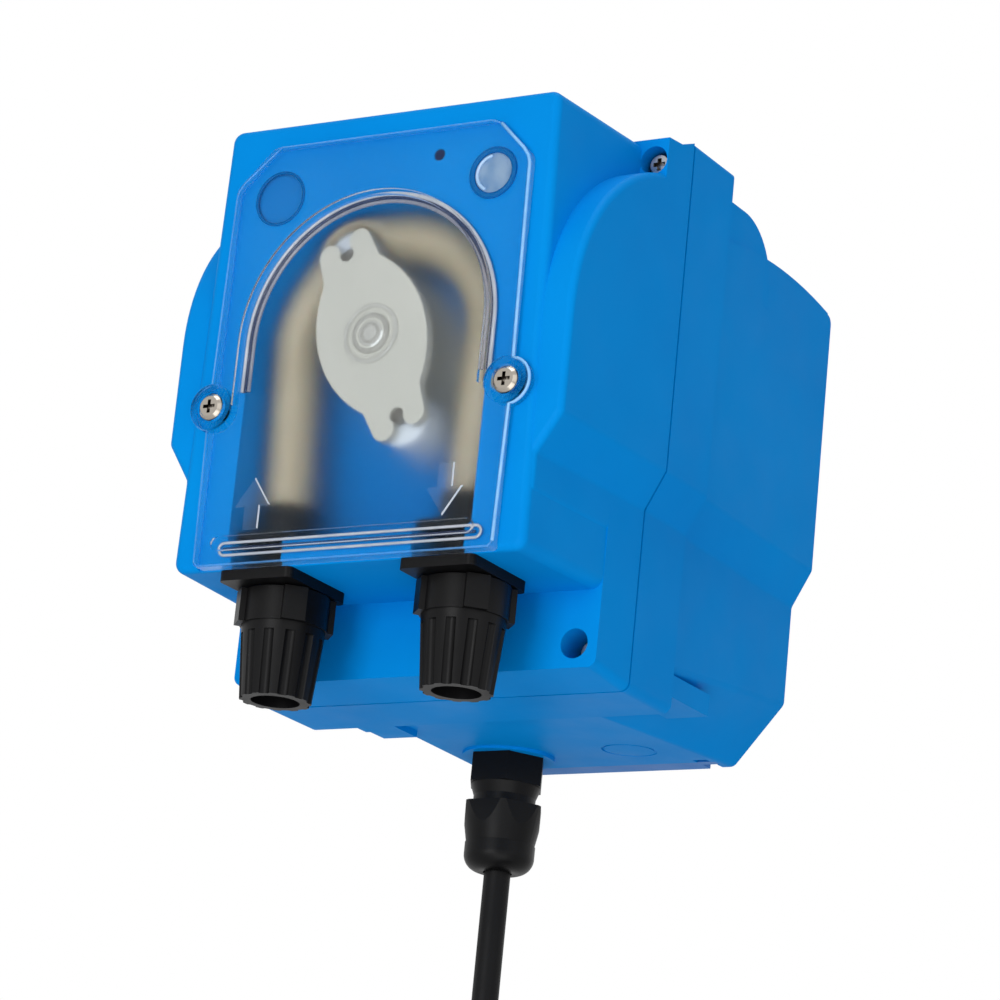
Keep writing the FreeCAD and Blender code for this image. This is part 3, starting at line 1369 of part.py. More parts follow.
def trimmer():
    """The small trimmer on the board's front for the dosing rate."""
    front = BOARD_FRONT
    base = block(TRIMMER_X - 5.0, TRIMMER_X + 5.0, front - 5.0, front, TRIMMER_Z - 5.0, TRIMMER_Z + 5.0)
    knob = rod(3.0, TRIMMER_X, TRIMMER_Z, front - 8.0, front - 4.0)
    return base.fuse(knob).cut(
        block(TRIMMER_X - 0.4, TRIMMER_X + 0.4, front - 9.0, front - 7.0, TRIMMER_Z - 4.0, TRIMMER_Z + 4.0)
    )


def capacitor():
    """The standing capacitor on the board."""
    front = BOARD_FRONT
    return chamfered_rod(
        CAPACITOR_RADIUS, CAPACITOR_X, TRANSFORMER_Z, front - CAPACITOR_LENGTH, front, CAPACITOR_EDGE
    )


def roller_reach(offset):
    """How far the pressing roller and its clearance reach from the rotor's middle, off its own line."""
    radius = ROLLER_RADIUS + TUBE_RUNNING_GAP
    across = PIN_CIRCLE * math.sin(offset)
    if abs(across) >= radius:
        return 0.0
    return PIN_CIRCLE * math.cos(offset) + math.sqrt(radius ** 2 - across ** 2)


def tube_half_thickness(angle):
    """Half of the tube's thickness across the track, squeezed flat near the pressing roller."""
    offset = math.radians(angle - 90.0 - ROTOR_TILT)
    outer = TRACK_RADIUS - GAP / 4
    inner = max(roller_reach(offset), outer - 2 * TUBE_RADIUS)
    spread = math.radians(TUBE_SQUEEZE_SPREAD)
    if abs(offset) < spread:
        eased = (1 + math.cos(math.pi * offset / spread)) / 2
        closed = PIN_CIRCLE + ROLLER_RADIUS + TUBE_RUNNING_GAP
        inner = max(inner, outer - 2 * TUBE_RADIUS + eased * (closed - outer + 2 * TUBE_RADIUS))
    return (outer - inner) / 2


def tube_section(middle, outward, half_thickness, half_width):
    """An oval section of the tube."""
    count = 16
    points = []
    for i in range(count):
        angle = 2 * math.pi * i / count
        points.append(
            middle + outward * (half_thickness * math.cos(angle)) + FreeCAD.Vector(
                0, half_width * math.sin(angle), 0
            )
        )
    curve = Part.BSplineCurve()
    curve.interpolate(Points=points, PeriodicFlag=True)
    return Part.Wire([curve.toShape()])


def tube_surface(wall):
    """The tube's solid, made thinner by a wall: up one port, over the arch and down to the other."""
    sections = []
    radius = TRACK_RADIUS - GAP / 4 - TUBE_RADIUS

    def leg(side):
        sections.append(
            tube_section(
                point(side * PORT_X, PORT_DEPTH, TUBE_END_Z),
                FreeCAD.Vector(side, 0, 0),
                TUBE_RADIUS - wall,
                TUBE_RADIUS - wall,
            )
        )

    leg(1)
    angle = 0.0
    while angle < 180.01:
        thickness = tube_half_thickness(angle)
        squeeze = (TUBE_RADIUS - thickness) / (TUBE_RADIUS - TUBE_WALL)
        width = TUBE_RADIUS + (TUBE_SQUEEZE - TUBE_RADIUS) * squeeze
        middle_radius = TRACK_RADIUS - GAP / 4 - thickness
        turn = math.radians(angle)
        outward = FreeCAD.Vector(math.cos(turn), 0, math.sin(turn))
        middle = point(0.0, TUBE_DEPTH, ROTOR_HEIGHT) + outward * middle_radius
        sections.append(tube_section(middle, outward, max(thickness - wall, 0.05), width - wall))
        near = abs(angle - 90.0 - ROTOR_TILT) < TUBE_SQUEEZE_SPREAD + 4.0
        angle += 4.0 if near else 10.0
    leg(-1)
    return Part.makeLoft(sections, True, True)


def pump_tube():
    """The soft pump tube, squeezed flat under the upper roller."""
    return tube_surface(0.0).cut(tube_surface(TUBE_WALL))


def port_fitting():
    """A tube port: inner block and hose barb above the head's floor, flange and spigot below it."""
    half = PORT_BLOCK_WIDTH / 2
    inner = block(
        PORT_X - half,
        PORT_X + half,
        PORT_DEPTH - PORT_BLOCK_FRONT,
        PORT_DEPTH + half,
        CAVITY_BOTTOM + GAP / 3,
        TUBE_END_Z - 1.5,
    )
    low = CAVITY_BOTTOM + GAP / 3 - BRACKET_CENTRE + 0.01
    inner = inner.makeChamfer(PORT_BLOCK_BEVEL, [edge for edge in inner.Edges if edge.BoundBox.ZMax < low])
    hexed = hexagon(PORT_HEX_RADIUS, PORT_X, PORT_DEPTH, TUBE_END_Z - 2.0, TUBE_END_Z - GAP / 3, 30.0)
    neck = post(PORT_NECK_RADIUS, PORT_X, PORT_DEPTH, -1.0, CAVITY_BOTTOM + 1.0)
    flange = block(
        PORT_X - PORT_FLANGE / 2,
        PORT_X + PORT_FLANGE / 2,
        PORT_DEPTH - PORT_FLANGE_FRONT,
        PORT_DEPTH + PORT_FLANGE / 2,
        -PORT_FLANGE_THICKNESS,
        0.0,
    )
    flange = flange.makeFillet(1.5, [edge for edge in flange.Edges if edge.BoundBox.ZLength > 1.0])
    spigot = post(PORT_SPIGOT_RADIUS, PORT_X, PORT_DEPTH, -PORT_FLANGE_THICKNESS - PORT_SPIGOT_LENGTH, -1.0)
    barb = cone(
        PORT_BARB_RADIUS,
        PORT_BARB_RADIUS - 0.5,
        PORT_X,
        PORT_DEPTH,
        TUBE_END_Z - 1.0,
        TUBE_END_Z + PORT_BARB_LENGTH,
    )
    body = inner.multiFuse([hexed, neck, flange, spigot, barb])
    bore = post(PORT_BORE_RADIUS, PORT_X, PORT_DEPTH, -FAR, FAR)
    return body.cut(bore)


def port_nut():
    """The knurled nut under a port: a winged collar above a ribbed taper."""
    top = -PORT_FLANGE_THICKNESS - GAP
    collar_end = top - NUT_COLLAR_HEIGHT
    bottom = collar_end - NUT_TAPER_LENGTH
    body = post(NUT_COLLAR_RADIUS, PORT_X, PORT_DEPTH, collar_end, top)
    for wing in range(NUT_WINGS):
        lug = FreeCAD.Placement(
            point(PORT_X, PORT_DEPTH, collar_end), FreeCAD.Rotation(
                FreeCAD.Vector(0, 0, 1), 45 + 360 * wing / NUT_WINGS
            )
        )
        bar = Part.makeBox(
            NUT_COLLAR_RADIUS + NUT_WING_REACH, NUT_WING_WIDTH, NUT_COLLAR_HEIGHT, FreeCAD.Vector(
                0, -NUT_WING_WIDTH / 2, 0
            )
        )
        bar.Placement = lug
        body = body.fuse(bar)
    body = body.fuse(cone(NUT_BOTTOM_RADIUS, NUT_TOP_RADIUS, PORT_X, PORT_DEPTH, bottom, collar_end))
    cuts = []
    for rib in range(NUT_RIBS):
        angle = math.radians(360 * (rib + 0.5) / NUT_RIBS)
        reach = NUT_TOP_RADIUS + 0.5
        x = PORT_X + reach * math.cos(angle)
        depth = PORT_DEPTH + reach * math.sin(angle)
        lower = NUT_BOTTOM_RADIUS + 0.5
        foot = point(PORT_X + lower * math.cos(angle), PORT_DEPTH + lower * math.sin(angle), bottom - 0.1)
        groove = point(x, depth, collar_end - NUT_RIB_START) - foot
        cuts.append(Part.makeCylinder(NUT_RIB_DEPTH + 0.5, groove.Length, foot, groove))
    cuts.append(post(PORT_SPIGOT_RADIUS + FIT, PORT_X, PORT_DEPTH, top - PORT_SPIGOT_LENGTH, top + 1.0))
    cuts.append(post(NUT_MOUTH_RADIUS, PORT_X, PORT_DEPTH, bottom - 1.0, top))
    return body.cut(cuts)


def gland_body():
    """The gland's body: thread through the housing's floor, hexagon, and a neck for the dome nut."""
    seat = -GLAND_SEAT_DROP
    inner = seat + GLAND_SEAT_WALL + LOCK_NUT_HEIGHT + 2.0
    thread = post(GLAND_THREAD_RADIUS, GLAND_X, GLAND_DEPTH, seat - 1.0, inner)
    hexed = hexagon(GLAND_HEX_RADIUS, GLAND_X, GLAND_DEPTH, seat - GLAND_HEX_HEIGHT + 2.5, seat)
    taper = cone(
        GLAND_NECK_RADIUS,
        GLAND_HEX_RADIUS - 1.2,
        GLAND_X,
        GLAND_DEPTH,
        seat - GLAND_HEX_HEIGHT,
        seat - GLAND_HEX_HEIGHT + 2.5,
    )
    neck = post(
        GLAND_NECK_RADIUS,
        GLAND_X,
        GLAND_DEPTH,
        seat - GLAND_NUT_START - GLAND_NUT_HEX + 1.0,
        seat - GLAND_HEX_HEIGHT + 1.0,
    )
    body = thread.multiFuse([hexed, taper, neck])
    return body.cut(post(CORD_RADIUS + GAP, GLAND_X, GLAND_DEPTH, -FAR, inner + PAST))


def gland_lock_nut():
    """The nut inside the housing that holds the gland."""
    start = -GLAND_SEAT_DROP + GLAND_SEAT_WALL + FIT
    nut = hexagon(LOCK_NUT_RADIUS, GLAND_X, GLAND_DEPTH, start, start + LOCK_NUT_HEIGHT)
    return nut.cut(
        post(GLAND_THREAD_RADIUS + FIT, GLAND_X, GLAND_DEPTH, start - 1.0, start + LOCK_NUT_HEIGHT + 1.0)
    )


def gland_seal():
    """The rubber sleeve that grips the cord."""
    top = -GLAND_SEAT_DROP - GLAND_NUT_START - GLAND_NUT_HEX + 1.0
    ring = post(GLAND_NECK_RADIUS - GAP, GLAND_X, GLAND_DEPTH, top - GLAND_SEAL_LENGTH, top)
    return ring.cut(post(CORD_RADIUS, GLAND_X, GLAND_DEPTH, top - GLAND_SEAL_LENGTH, top))


def gland_dome_nut():
    """The gland's outer nut: a hexagon that runs into a dome."""
    top = -GLAND_SEAT_DROP - GLAND_NUT_START
    hex_end = top - GLAND_NUT_HEX
    end = hex_end - GLAND_DOME_LENGTH
    hexed = hexagon(GLAND_NUT_RADIUS, GLAND_X, GLAND_DEPTH, hex_end, top)
    skirt = cone(
        GLAND_DOME_RADIUS * 0.72, GLAND_NUT_RADIUS + 1.0, GLAND_X, GLAND_DEPTH, end - 4.0, top + 7.0
    )
    dome = post(GLAND_DOME_RADIUS, GLAND_X, GLAND_DEPTH, end, hex_end + 1.0)
    rim = [edge for edge in dome.Edges if edge.BoundBox.ZMax < end - BRACKET_CENTRE + 0.01]
    dome = dome.makeFillet(GLAND_DOME_LENGTH * 0.7, rim)
    hollow = post(
        GLAND_NECK_RADIUS + FIT, GLAND_X, GLAND_DEPTH, hex_end + 1.0 - GLAND_SEAL_LENGTH - GAP, top + 1.0
    )
    mouth = post(CORD_RADIUS + GAP, GLAND_X, GLAND_DEPTH, end - 1.0, top)
    return hexed.common(skirt).fuse(dome).cut([hollow, mouth])


def coil_centre_x():
    """Where the coil's middle is across, so that the hanging cord meets its inner turns."""
    return GLAND_X + COIL_TURN_RADIUS


def coil_centre_z():
    """How high the coil's middle is."""
    return -GLAND_EXIT_DROP - CORD_HANG


def coil_entry(radius):
    """Height above the coil's middle where a straight stretch at this radius leaves the coil's ring."""
    inner_side = radius - CORD_RADIUS
    return math.sqrt(coil_outside() ** 2 - inner_side ** 2) + FIT


def coil_outside():
    """The coil's outside radius."""
    return COIL_TURN_RADIUS + COIL_PITCH + CORD_RADIUS + FIT


def coil_ring(axis_radius_in, axis_radius_out, grow):
    """A flat-sided ring around the coil's turns."""
    x = coil_centre_x()
    z = coil_centre_z()
    front = GLAND_DEPTH - COIL_ROWS * COIL_PITCH - CORD_RADIUS - grow
    back = GLAND_DEPTH + CORD_RADIUS + grow
    return rod(axis_radius_out, x, z, front, back).cut(rod(axis_radius_in, x, z, front, back))


def cord_lead():
    """The cord from the terminals through the gland and straight down to the coil."""
    top = -GLAND_SEAT_DROP + CORD_INSIDE
    bottom = coil_centre_z() + coil_entry(COIL_TURN_RADIUS)
    return post(CORD_RADIUS, GLAND_X, GLAND_DEPTH, bottom, top)


def cord_coil():
    """The wound-up rest of the cord."""
    return coil_ring(COIL_TURN_RADIUS - CORD_RADIUS - FIT, coil_outside(), 0.0)


def cord_tail():
    """The cord's free end below the coil's outer turns."""
    x = GLAND_X - COIL_PITCH
    depth = GLAND_DEPTH - COIL_PITCH
    top = coil_centre_z() - coil_entry(COIL_TURN_RADIUS + COIL_PITCH)
    return post(CORD_RADIUS, x, depth, coil_centre_z() - CORD_TAIL, top)


def cord_tie():
    """The strap that holds the coil's turns together at the top."""
    inner = COIL_TURN_RADIUS - CORD_RADIUS - 3 * FIT
    outer = coil_outside() + FIT
    x = coil_centre_x()
    z = coil_centre_z()
    hoop = coil_ring(inner - TIE_THICKNESS, outer + TIE_THICKNESS, FIT + TIE_THICKNESS)
    hoop = hoop.cut(coil_ring(inner, outer, FIT))
    return hoop.common(
        block(x - TIE_WIDTH / 2, x + TIE_WIDTH / 2, 0.0, 2 * HOUSING_DEPTH, z, z + 2 * outer)
    )


def tail_wires():
    """The cord's three cores with their crimped sleeves at the free end."""
    x = GLAND_X - COIL_PITCH
    depth = GLAND_DEPTH - COIL_PITCH
    top = coil_centre_z() - CORD_TAIL
    wires = []
    for core in (-1, 0, 1):
        wire = post(WIRE_RADIUS, x + core * CORE_SPACING, depth, top - WIRE_LENGTH, top)
        sleeve = post(
            0.7 * WIRE_RADIUS,
            x + core * CORE_SPACING,
            depth,
            top - WIRE_LENGTH - FERRULE_LENGTH,
            top - WIRE_LENGTH,
        )
        wires.append(wire.fuse(sleeve))
    return Part.makeCompound(wires)


def supply_wires():
    """The three cores inside the housing, from the cord's end up into the terminals."""
    start = -GLAND_SEAT_DROP + CORD_INSIDE
    end = BOARD_BOTTOM + TERMINAL_MARGIN + WIRE_GRIP
    wires = []
    for core in (-1, 0, 1):
        foot = point(GLAND_X + core * CORE_SPACING, GLAND_DEPTH, start)
        top = point(GLAND_X + core * TERMINAL_PITCH, WIRE_END_DEPTH, end)
        wires.append(Part.makeCylinder(0.8 * WIRE_RADIUS, (top - foot).Length, foot, top - foot))
    return Part.makeCompound(wires)


def wall_bracket():
    """The moulded plate on the wall: a wide flange in front of a narrower stem, with four screw holes."""
    wall_face = HOUSING_DEPTH + WALL_GAP
    step = wall_face - BRACKET_STEM
    face = step - BRACKET_FLANGE
    stem = block(-BRACKET_STEM_HALF, BRACKET_STEM_HALF, step, wall_face, -REAR_DROP, BRACKET_TOP)
    flange = block(-BRACKET_FLANGE_HALF, BRACKET_FLANGE_HALF, face, step, -REAR_DROP, BRACKET_TOP)
    upper = BRACKET_TOP - BRACKET_CENTRE - FIT
    corners = [edge for edge in flange.Edges if edge.BoundBox.YLength > PAST and edge.BoundBox.ZMin > upper]
    plate = stem.fuse(flange.makeFillet(BRACKET_CORNER, corners))
    cuts = []
    for side in (-1, 1):
        for row in (-1, 1):
            x = side * BRACKET_HOLE_X
            z = BRACKET_CENTRE + row * BRACKET_HOLE_Z
            cuts.append(rod(BRACKET_HOLE_RADIUS, x, z, face - PAST, wall_face + PAST))
            cuts.append(rod(BRACKET_HEAD_RADIUS, x, z, face - PAST, face + BRACKET_HEAD_DEPTH))
    return plate.cut(cuts)


def pieces():
    """Every sub-part by its name."""
    return {
        "wall_bracket": wall_bracket(),
        "rear_shell": rear_shell(),
        "front_shell": front_shell(),
        "housing_gasket": housing_gasket(),
        "housing_screws": housing_screws(),
        "head_cover": head_cover(),
        "cover_screws": cover_screws(),
        "indicator_lens": indicator_lens(),
        "status_led": status_led(),
        "indicator_board": indicator_board(),
        "rotor_front_plate": rotor_front_plate(),
        "rotor_carrier": rotor_carrier(),
        "rotor_screw": rotor_screw(),
        "roller_pins": roller_pins(),
        "roller_upper": roller(1),
        "roller_lower": roller(-1),
        "pump_tube": pump_tube(),
        "suction_port": mirrored(port_fitting()),
        "discharge_port": port_fitting(),
        "suction_nut": mirrored(port_nut()),
        "discharge_nut": port_nut(),
        "shaft_seal": shaft_seal(),
        "output_shaft": output_shaft(),
        "output_bushes": output_bushes(),
        "output_wheel": output_wheel(),
        "idler_gear": idler_gear(),
        "idler_arbor": idler_arbor(),
        "motor_pinion": motor_pinion(),
        "motor_shaft": motor_shaft(),
        "gearbox_front_plate": gearbox_plate(GEARBOX_FRONT),
        "gearbox_rear_plate": gearbox_rear_plate(),
        "gearbox_pillars": gearbox_pillars(),
        "gearbox_screws": gearbox_screws(),
        "motor_can": motor_can(),
        "motor_cap": motor_cap(),
        "motor_screws": motor_screws(),
        "control_board": control_board(),
        "board_screws": board_screws(),
        "terminal_block": terminal_block(),
        "terminal_screws": terminal_screws(),
        "transformer": transformer(),
        "trimmer": trimmer(),
        "capacitor": capacitor(),
        "gland_body": gland_body(),
        "gland_lock_nut": gland_lock_nut(),
        "gland_seal": gland_seal(),
        "gland_dome_nut": gland_dome_nut(),
        "cord_lead": cord_lead(),
        "cord_coil": cord_coil(),
        "cord_tail": cord_tail(),
        "cord_tie": cord_tie(),
        "tail_wires": tail_wires(),
        "supply_wires": supply_wires(),
    }


os.makedirs("parts", exist_ok=True)
for name, shape in pieces().items():
    shape.exportStep(os.path.join("parts", name + ".step"))
    print(name, len(shape.Solids), "solids, valid", shape.isValid(), "volume", round(shape.Volume, 1))
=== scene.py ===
import math

import bmesh
import bpy
from mathutils import Matrix, Vector


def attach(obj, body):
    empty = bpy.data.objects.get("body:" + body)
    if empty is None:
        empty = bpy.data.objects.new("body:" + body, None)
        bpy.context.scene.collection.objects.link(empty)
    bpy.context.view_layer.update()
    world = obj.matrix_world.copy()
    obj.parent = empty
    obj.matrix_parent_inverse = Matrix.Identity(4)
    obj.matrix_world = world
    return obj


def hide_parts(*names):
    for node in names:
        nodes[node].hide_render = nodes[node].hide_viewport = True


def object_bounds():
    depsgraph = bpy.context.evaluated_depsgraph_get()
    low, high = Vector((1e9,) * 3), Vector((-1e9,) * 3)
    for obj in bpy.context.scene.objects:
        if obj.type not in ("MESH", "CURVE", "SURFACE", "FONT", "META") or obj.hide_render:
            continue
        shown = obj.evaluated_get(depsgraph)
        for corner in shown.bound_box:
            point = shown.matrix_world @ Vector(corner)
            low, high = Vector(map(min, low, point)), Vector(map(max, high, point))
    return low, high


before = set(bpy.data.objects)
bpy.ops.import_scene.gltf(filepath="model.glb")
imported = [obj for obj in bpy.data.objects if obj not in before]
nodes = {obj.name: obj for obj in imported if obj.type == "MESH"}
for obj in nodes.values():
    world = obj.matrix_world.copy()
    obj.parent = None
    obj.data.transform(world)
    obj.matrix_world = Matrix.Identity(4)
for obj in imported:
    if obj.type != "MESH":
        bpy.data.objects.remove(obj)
cad_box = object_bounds()

# Sizes and places in metres, which follow the part's own where it has them
MM = 0.001
FRONT_Y = -117.8 * MM
HEAD_Z = -42.0 * MM
COVER_FACE = FRONT_Y - 1.8 * MM
GLAND_X = -15.5 * MM
GLAND_Y = FRONT_Y + 97.3 * MM
GLAND_END_Z = HEAD_Z - 43.2 * MM
CORD_DIAMETER = 6.0 * MM
CORD_TOP_Z = HEAD_Z - 1.0 * MM
CORD_HANG = 86.0 * MM
CORD_TAIL = 45.0 * MM
TURN_RADIUS = 32.7 * MM
TURN_PITCH = 6.2 * MM
INNER_TURNS = 3
CLIMB_TURNS = 1
OUTER_TURNS = 2
POINTS_PER_TURN = 16
ROTOR_Z = HEAD_Z + 50.0 * MM
PLATE_Y = FRONT_Y + 2.0 * MM
PORT_X = 22.2 * MM
PORT_Y = FRONT_Y + 13.4 * MM
LENS_X = 26.6 * MM
LENS_Z = HEAD_Z + 82.8 * MM
SEAT_Y = FRONT_Y + 1.2 * MM
COVER_HALF = 36.5 * MM
COVER_LOW_Z = HEAD_Z + 0.6 * MM
COVER_TOP_Z = HEAD_Z + 93.8 * MM
COVER_CHAMFER = 8.7 * MM
COVER_SCREW_Z = HEAD_Z + 35.6 * MM

# The cover's bead, bar and edge, drawn as lines of painted highlight and painted shade; a bead line has a
# name, a radius, a thickness and a material
COVER_BACK_DEPTH = 0.8 * MM
MARK_Y = FRONT_Y + 0.2 * MM
BEAD_END_Z = HEAD_Z + 39.0 * MM
BEAD_SHIFT = 0.4 * MM
BEAD_LINES = (
    ("arch_bead_outer", 30.5 * MM, 0.48 * MM, "bead_highlight"),
    ("arch_bead_middle", 29.7 * MM, 0.42 * MM, "bead_shade"),
    ("arch_bead_inner", 28.9 * MM, 0.44 * MM, "bead_inner_highlight"),
)
BAR_HALF = 32.0 * MM
BAR_SHIFT = 0.8 * MM
BAR_Z = HEAD_Z + 4.3 * MM
BAR_HALF_HEIGHT = 1.3 * MM
BAR_THICKNESS = 0.32 * MM
BAR_MIDDLE_THICKNESS = 0.35 * MM
EDGE_Y = COVER_FACE + 0.25 * MM
EDGE_CORNER = 1.0 * MM
EDGE_HIGHLIGHT_THICKNESS = 0.36 * MM
EDGE_DIM_HIGHLIGHT_THICKNESS = 0.2 * MM
LOBE_RADIUS = 5.0 * MM
LOBE_TURN = math.radians(82)

# Rings and collars. A hub ring has a name, a radius, a thickness and a material, an arc has its
# number of points, its start and its turn, and the collar's profile goes by radius and height
# The glints are painted highlights; the lens seat, the blind rim and disc, the hub groove and the hub eye
# are painted shade
LENS_GLINT_RADIUS = 3.9 * MM
LENS_GLINT_THICKNESS = 0.4 * MM
LENS_GLINT_PROUD = 0.1 * MM
LENS_GLINT_ARC = (24, 1.7, 2.6)
LENS_SEAT_SHADE_RADIUS = 5.1 * MM
LENS_SEAT_SHADE_THICKNESS = 0.7 * MM
BLIND_RIM_SHADE_RADIUS = 5.9 * MM
BLIND_RIM_SHADE_THICKNESS = 0.35 * MM
BLIND_DISC_RADIUS = 5.8 * MM
BLIND_DISC_HEIGHT = 0.2 * MM
BLIND_DISC_DEPTH = 0.6 * MM
HUB_RINGS = (
    ("hub_ring", 6.2 * MM, 0.35 * MM, "plug"),
    ("hub_groove_shade", 3.9 * MM, 0.55 * MM, "hub_groove_shade"),
    ("hub_eye", 1.9 * MM, 0.5 * MM, "hub_groove_shade"),
)
HUB_PROUD = 0.2 * MM
HUB_GLINT_RADIUS = 2.9 * MM
HUB_GLINT_THICKNESS = 0.42 * MM
HUB_GLINT_PROUD = 0.3 * MM
HUB_GLINT_ARC = (20, -1.4, 1.5)
HUB_CAP_RADIUS = 3.5 * MM
HUB_CAP_HEIGHT = 0.65 * MM
COLLAR_PROFILE = (
    (6.1 * MM, 8.0 * MM),
    (6.6 * MM, 8.4 * MM),
    (6.6 * MM, 15.4 * MM),
    (6.1 * MM, 15.9 * MM),
    (5.5 * MM, 15.9 * MM),
)

# Flow arrows, each with the place of its tip from the head's middle and bottom, and its way, 1 for up
ARROW_HALF = 4.4 * MM
ARROW_HEAD = 6.3 * MM
ARROW_STEM_HALF = 1.9 * MM
ARROW_LENGTH = 11.4 * MM
ARROW_HEIGHT = 0.45 * MM
ARROW_SLOPE = 0.2 * MM
ARROW_FACE = FRONT_Y + 0.6 * MM
# Side faces turned past this towards the light are painted lit, the others painted shaded
ARROW_LIT_FACING = 0.3
ARROWS = (
    ("suction_arrow", -24.2 * MM, 19.8 * MM, 1),
    ("discharge_arrow", 22.9 * MM, 8.2 * MM, -1),
)

# Roundness of the small forms
TUBE_SIDES = 12
COLLAR_SIDES = 32
DOME_STEPS = 6
DOME_SIDES = 40

# Grain of the surfaces, in cells per metre
PLASTIC_GRAIN = 2600.0
METAL_GRAIN = 1500.0

# Camera, floor and the rays that see a white surround
CAMERA_PLACE = (468.016 * MM, -806.026 * MM, -272.791 * MM)
CAMERA_RIGHT = (0.85805843, 0.50463779, 0.09527031)
CAMERA_DOWN = (-0.06639141, 0.29295897, -0.95381718)
CAMERA_AHEAD = (-0.50924249, 0.81210575, 0.28487953)
CAMERA_LENS = 151.28
FLOOR_HALF = 6.0
FLOOR_DROP = 0.6
FLOOR_WHITE = 0.75
SEEN_RAYS = ("Is Camera Ray", "Is Glossy Ray", "Is Transmission Ray")


def srgb(red, green, blue):
    """Linear colour of a colour given as it looks on a screen, 0 to 255."""

    def linear(value):
        share = value / 255
        if share <= 0.04045:
            return share / 12.92
        return ((share + 0.055) / 1.055) ** 2.4

    return (linear(red), linear(green), linear(blue), 1.0)


# Materials


def new_material(name):
    """A material with an empty node tree but for its surface shader."""
    material = bpy.data.materials.new(name)
    material.use_nodes = True
    shader = material.node_tree.nodes["Principled BSDF"]
    return material, material.node_tree, shader


def noise(tree, scale, detail=3.0):
    """A noise texture at so many cells per metre."""
    coordinates = tree.nodes.new("ShaderNodeTexCoord")
    texture = tree.nodes.new("ShaderNodeTexNoise")
    texture.inputs["Scale"].default_value = scale
    texture.inputs["Detail"].default_value = detail
    tree.links.new(coordinates.outputs["Object"], texture.inputs["Vector"])
    return texture.outputs["Fac"]


def spread(tree, factor, low, high):
    """The factor stretched onto a range of values."""
    node = tree.nodes.new("ShaderNodeMapRange")
    node.inputs["From Min"].default_value = 0.3
    node.inputs["From Max"].default_value = 0.7
    node.inputs["To Min"].default_value = low
    node.inputs["To Max"].default_value = high
    tree.links.new(factor, node.inputs["Value"])
    return node.outputs["Result"]


def vary_color(tree, shader, factor, first, second):
    """The base colour wandering between two colours."""
    ramp = tree.nodes.new("ShaderNodeValToRGB")
    ramp.color_ramp.elements[0].position = 0.35
    ramp.color_ramp.elements[0].color = first
    ramp.color_ramp.elements[1].position = 0.65
    ramp.color_ramp.elements[1].color = second
    tree.links.new(factor, ramp.inputs["Fac"])
    tree.links.new(ramp.outputs["Color"], shader.inputs["Base Color"])


def bump(tree, shader, factor, strength, distance):
    """A fine relief from the factor."""
    node = tree.nodes.new("ShaderNodeBump")
    node.inputs["Strength"].default_value = strength
    node.inputs["Distance"].default_value = distance
    tree.links.new(factor, node.inputs["Height"])
    tree.links.new(node.outputs["Normal"], shader.inputs["Normal"])


def round_edges(tree, shader, radius):
    """Edges that shine as if they were rounded."""
    node = tree.nodes.new("ShaderNodeBevel")
    node.samples = 4
    node.inputs["Radius"].default_value = radius
    tree.links.new(node.outputs["Normal"], shader.inputs["Normal"])


def moulded_plastic(name, first, second, roughness, grain=PLASTIC_GRAIN, relief=0.02, specular=0.5):
    """Moulded plastic with a fine grain, slow colour changes and uneven sheen."""
    material, tree, shader = new_material(name)
    vary_color(tree, shader, noise(tree, 24.0), first, second)
    sheen = spread(tree, noise(tree, 90.0, 4.0), roughness - 0.05, roughness + 0.06)
    tree.links.new(sheen, shader.inputs["Roughness"])
    shader.inputs["Specular IOR Level"].default_value = specular
    bump(tree, shader, noise(tree, grain, 2.0), relief, 0.2 * MM)
    return material


def metal(name, color, roughness, recess_shade=(0.1, 0.08, 0.06, 1.0)):
    """Bright metal with light wear, and painted shade: ambient occlusion darkens its colour in recesses."""
    material, tree, shader = new_material(name)
    # Painted shade: the colour turns to the dark one where ambient occlusion finds a recess
    shade = tree.nodes.new("ShaderNodeAmbientOcclusion")
    shade.samples = 8
    shade.inputs["Distance"].default_value = 1.5 * MM
    ramp = tree.nodes.new("ShaderNodeValToRGB")
    ramp.color_ramp.elements[0].position = 0.35
    ramp.color_ramp.elements[0].color = recess_shade
    ramp.color_ramp.elements[1].position = 0.8
    ramp.color_ramp.elements[1].color = color
    tree.links.new(shade.outputs["AO"], ramp.inputs["Fac"])
    tree.links.new(ramp.outputs["Color"], shader.inputs["Base Color"])
    shader.inputs["Metallic"].default_value = 1.0
    sheen = spread(tree, noise(tree, 400.0, 4.0), roughness - 0.04, roughness + 0.08)
    tree.links.new(sheen, shader.inputs["Roughness"])
    bump(tree, shader, noise(tree, METAL_GRAIN), 0.03, 0.1 * MM)
    return material


def any_ray(tree, *rays):
    """One for a ray of any of the named kinds, and zero for the others."""
    path = tree.nodes.new("ShaderNodeLightPath")
    total = path.outputs[rays[0]]
    for ray in rays[1:]:
        add = tree.nodes.new("ShaderNodeMath")
        add.operation = "ADD"
        add.use_clamp = True
        tree.links.new(total, add.inputs[0])
        tree.links.new(path.outputs[ray], add.inputs[1])
        total = add.outputs["Value"]
    return total


def behind(tree, depth):
    """One where the surface lies deeper than so far from the front, and zero elsewhere."""
    coordinates = tree.nodes.new("ShaderNodeTexCoord")
    parts = tree.nodes.new("ShaderNodeSeparateXYZ")
    test = tree.nodes.new("ShaderNodeMath")
    test.operation = "GREATER_THAN"
    test.inputs[1].default_value = FRONT_Y + depth
    tree.links.new(coordinates.outputs["Object"], parts.inputs["Vector"])
    tree.links.new(parts.outputs["Y"], test.inputs[0])
    return test.outputs["Value"]


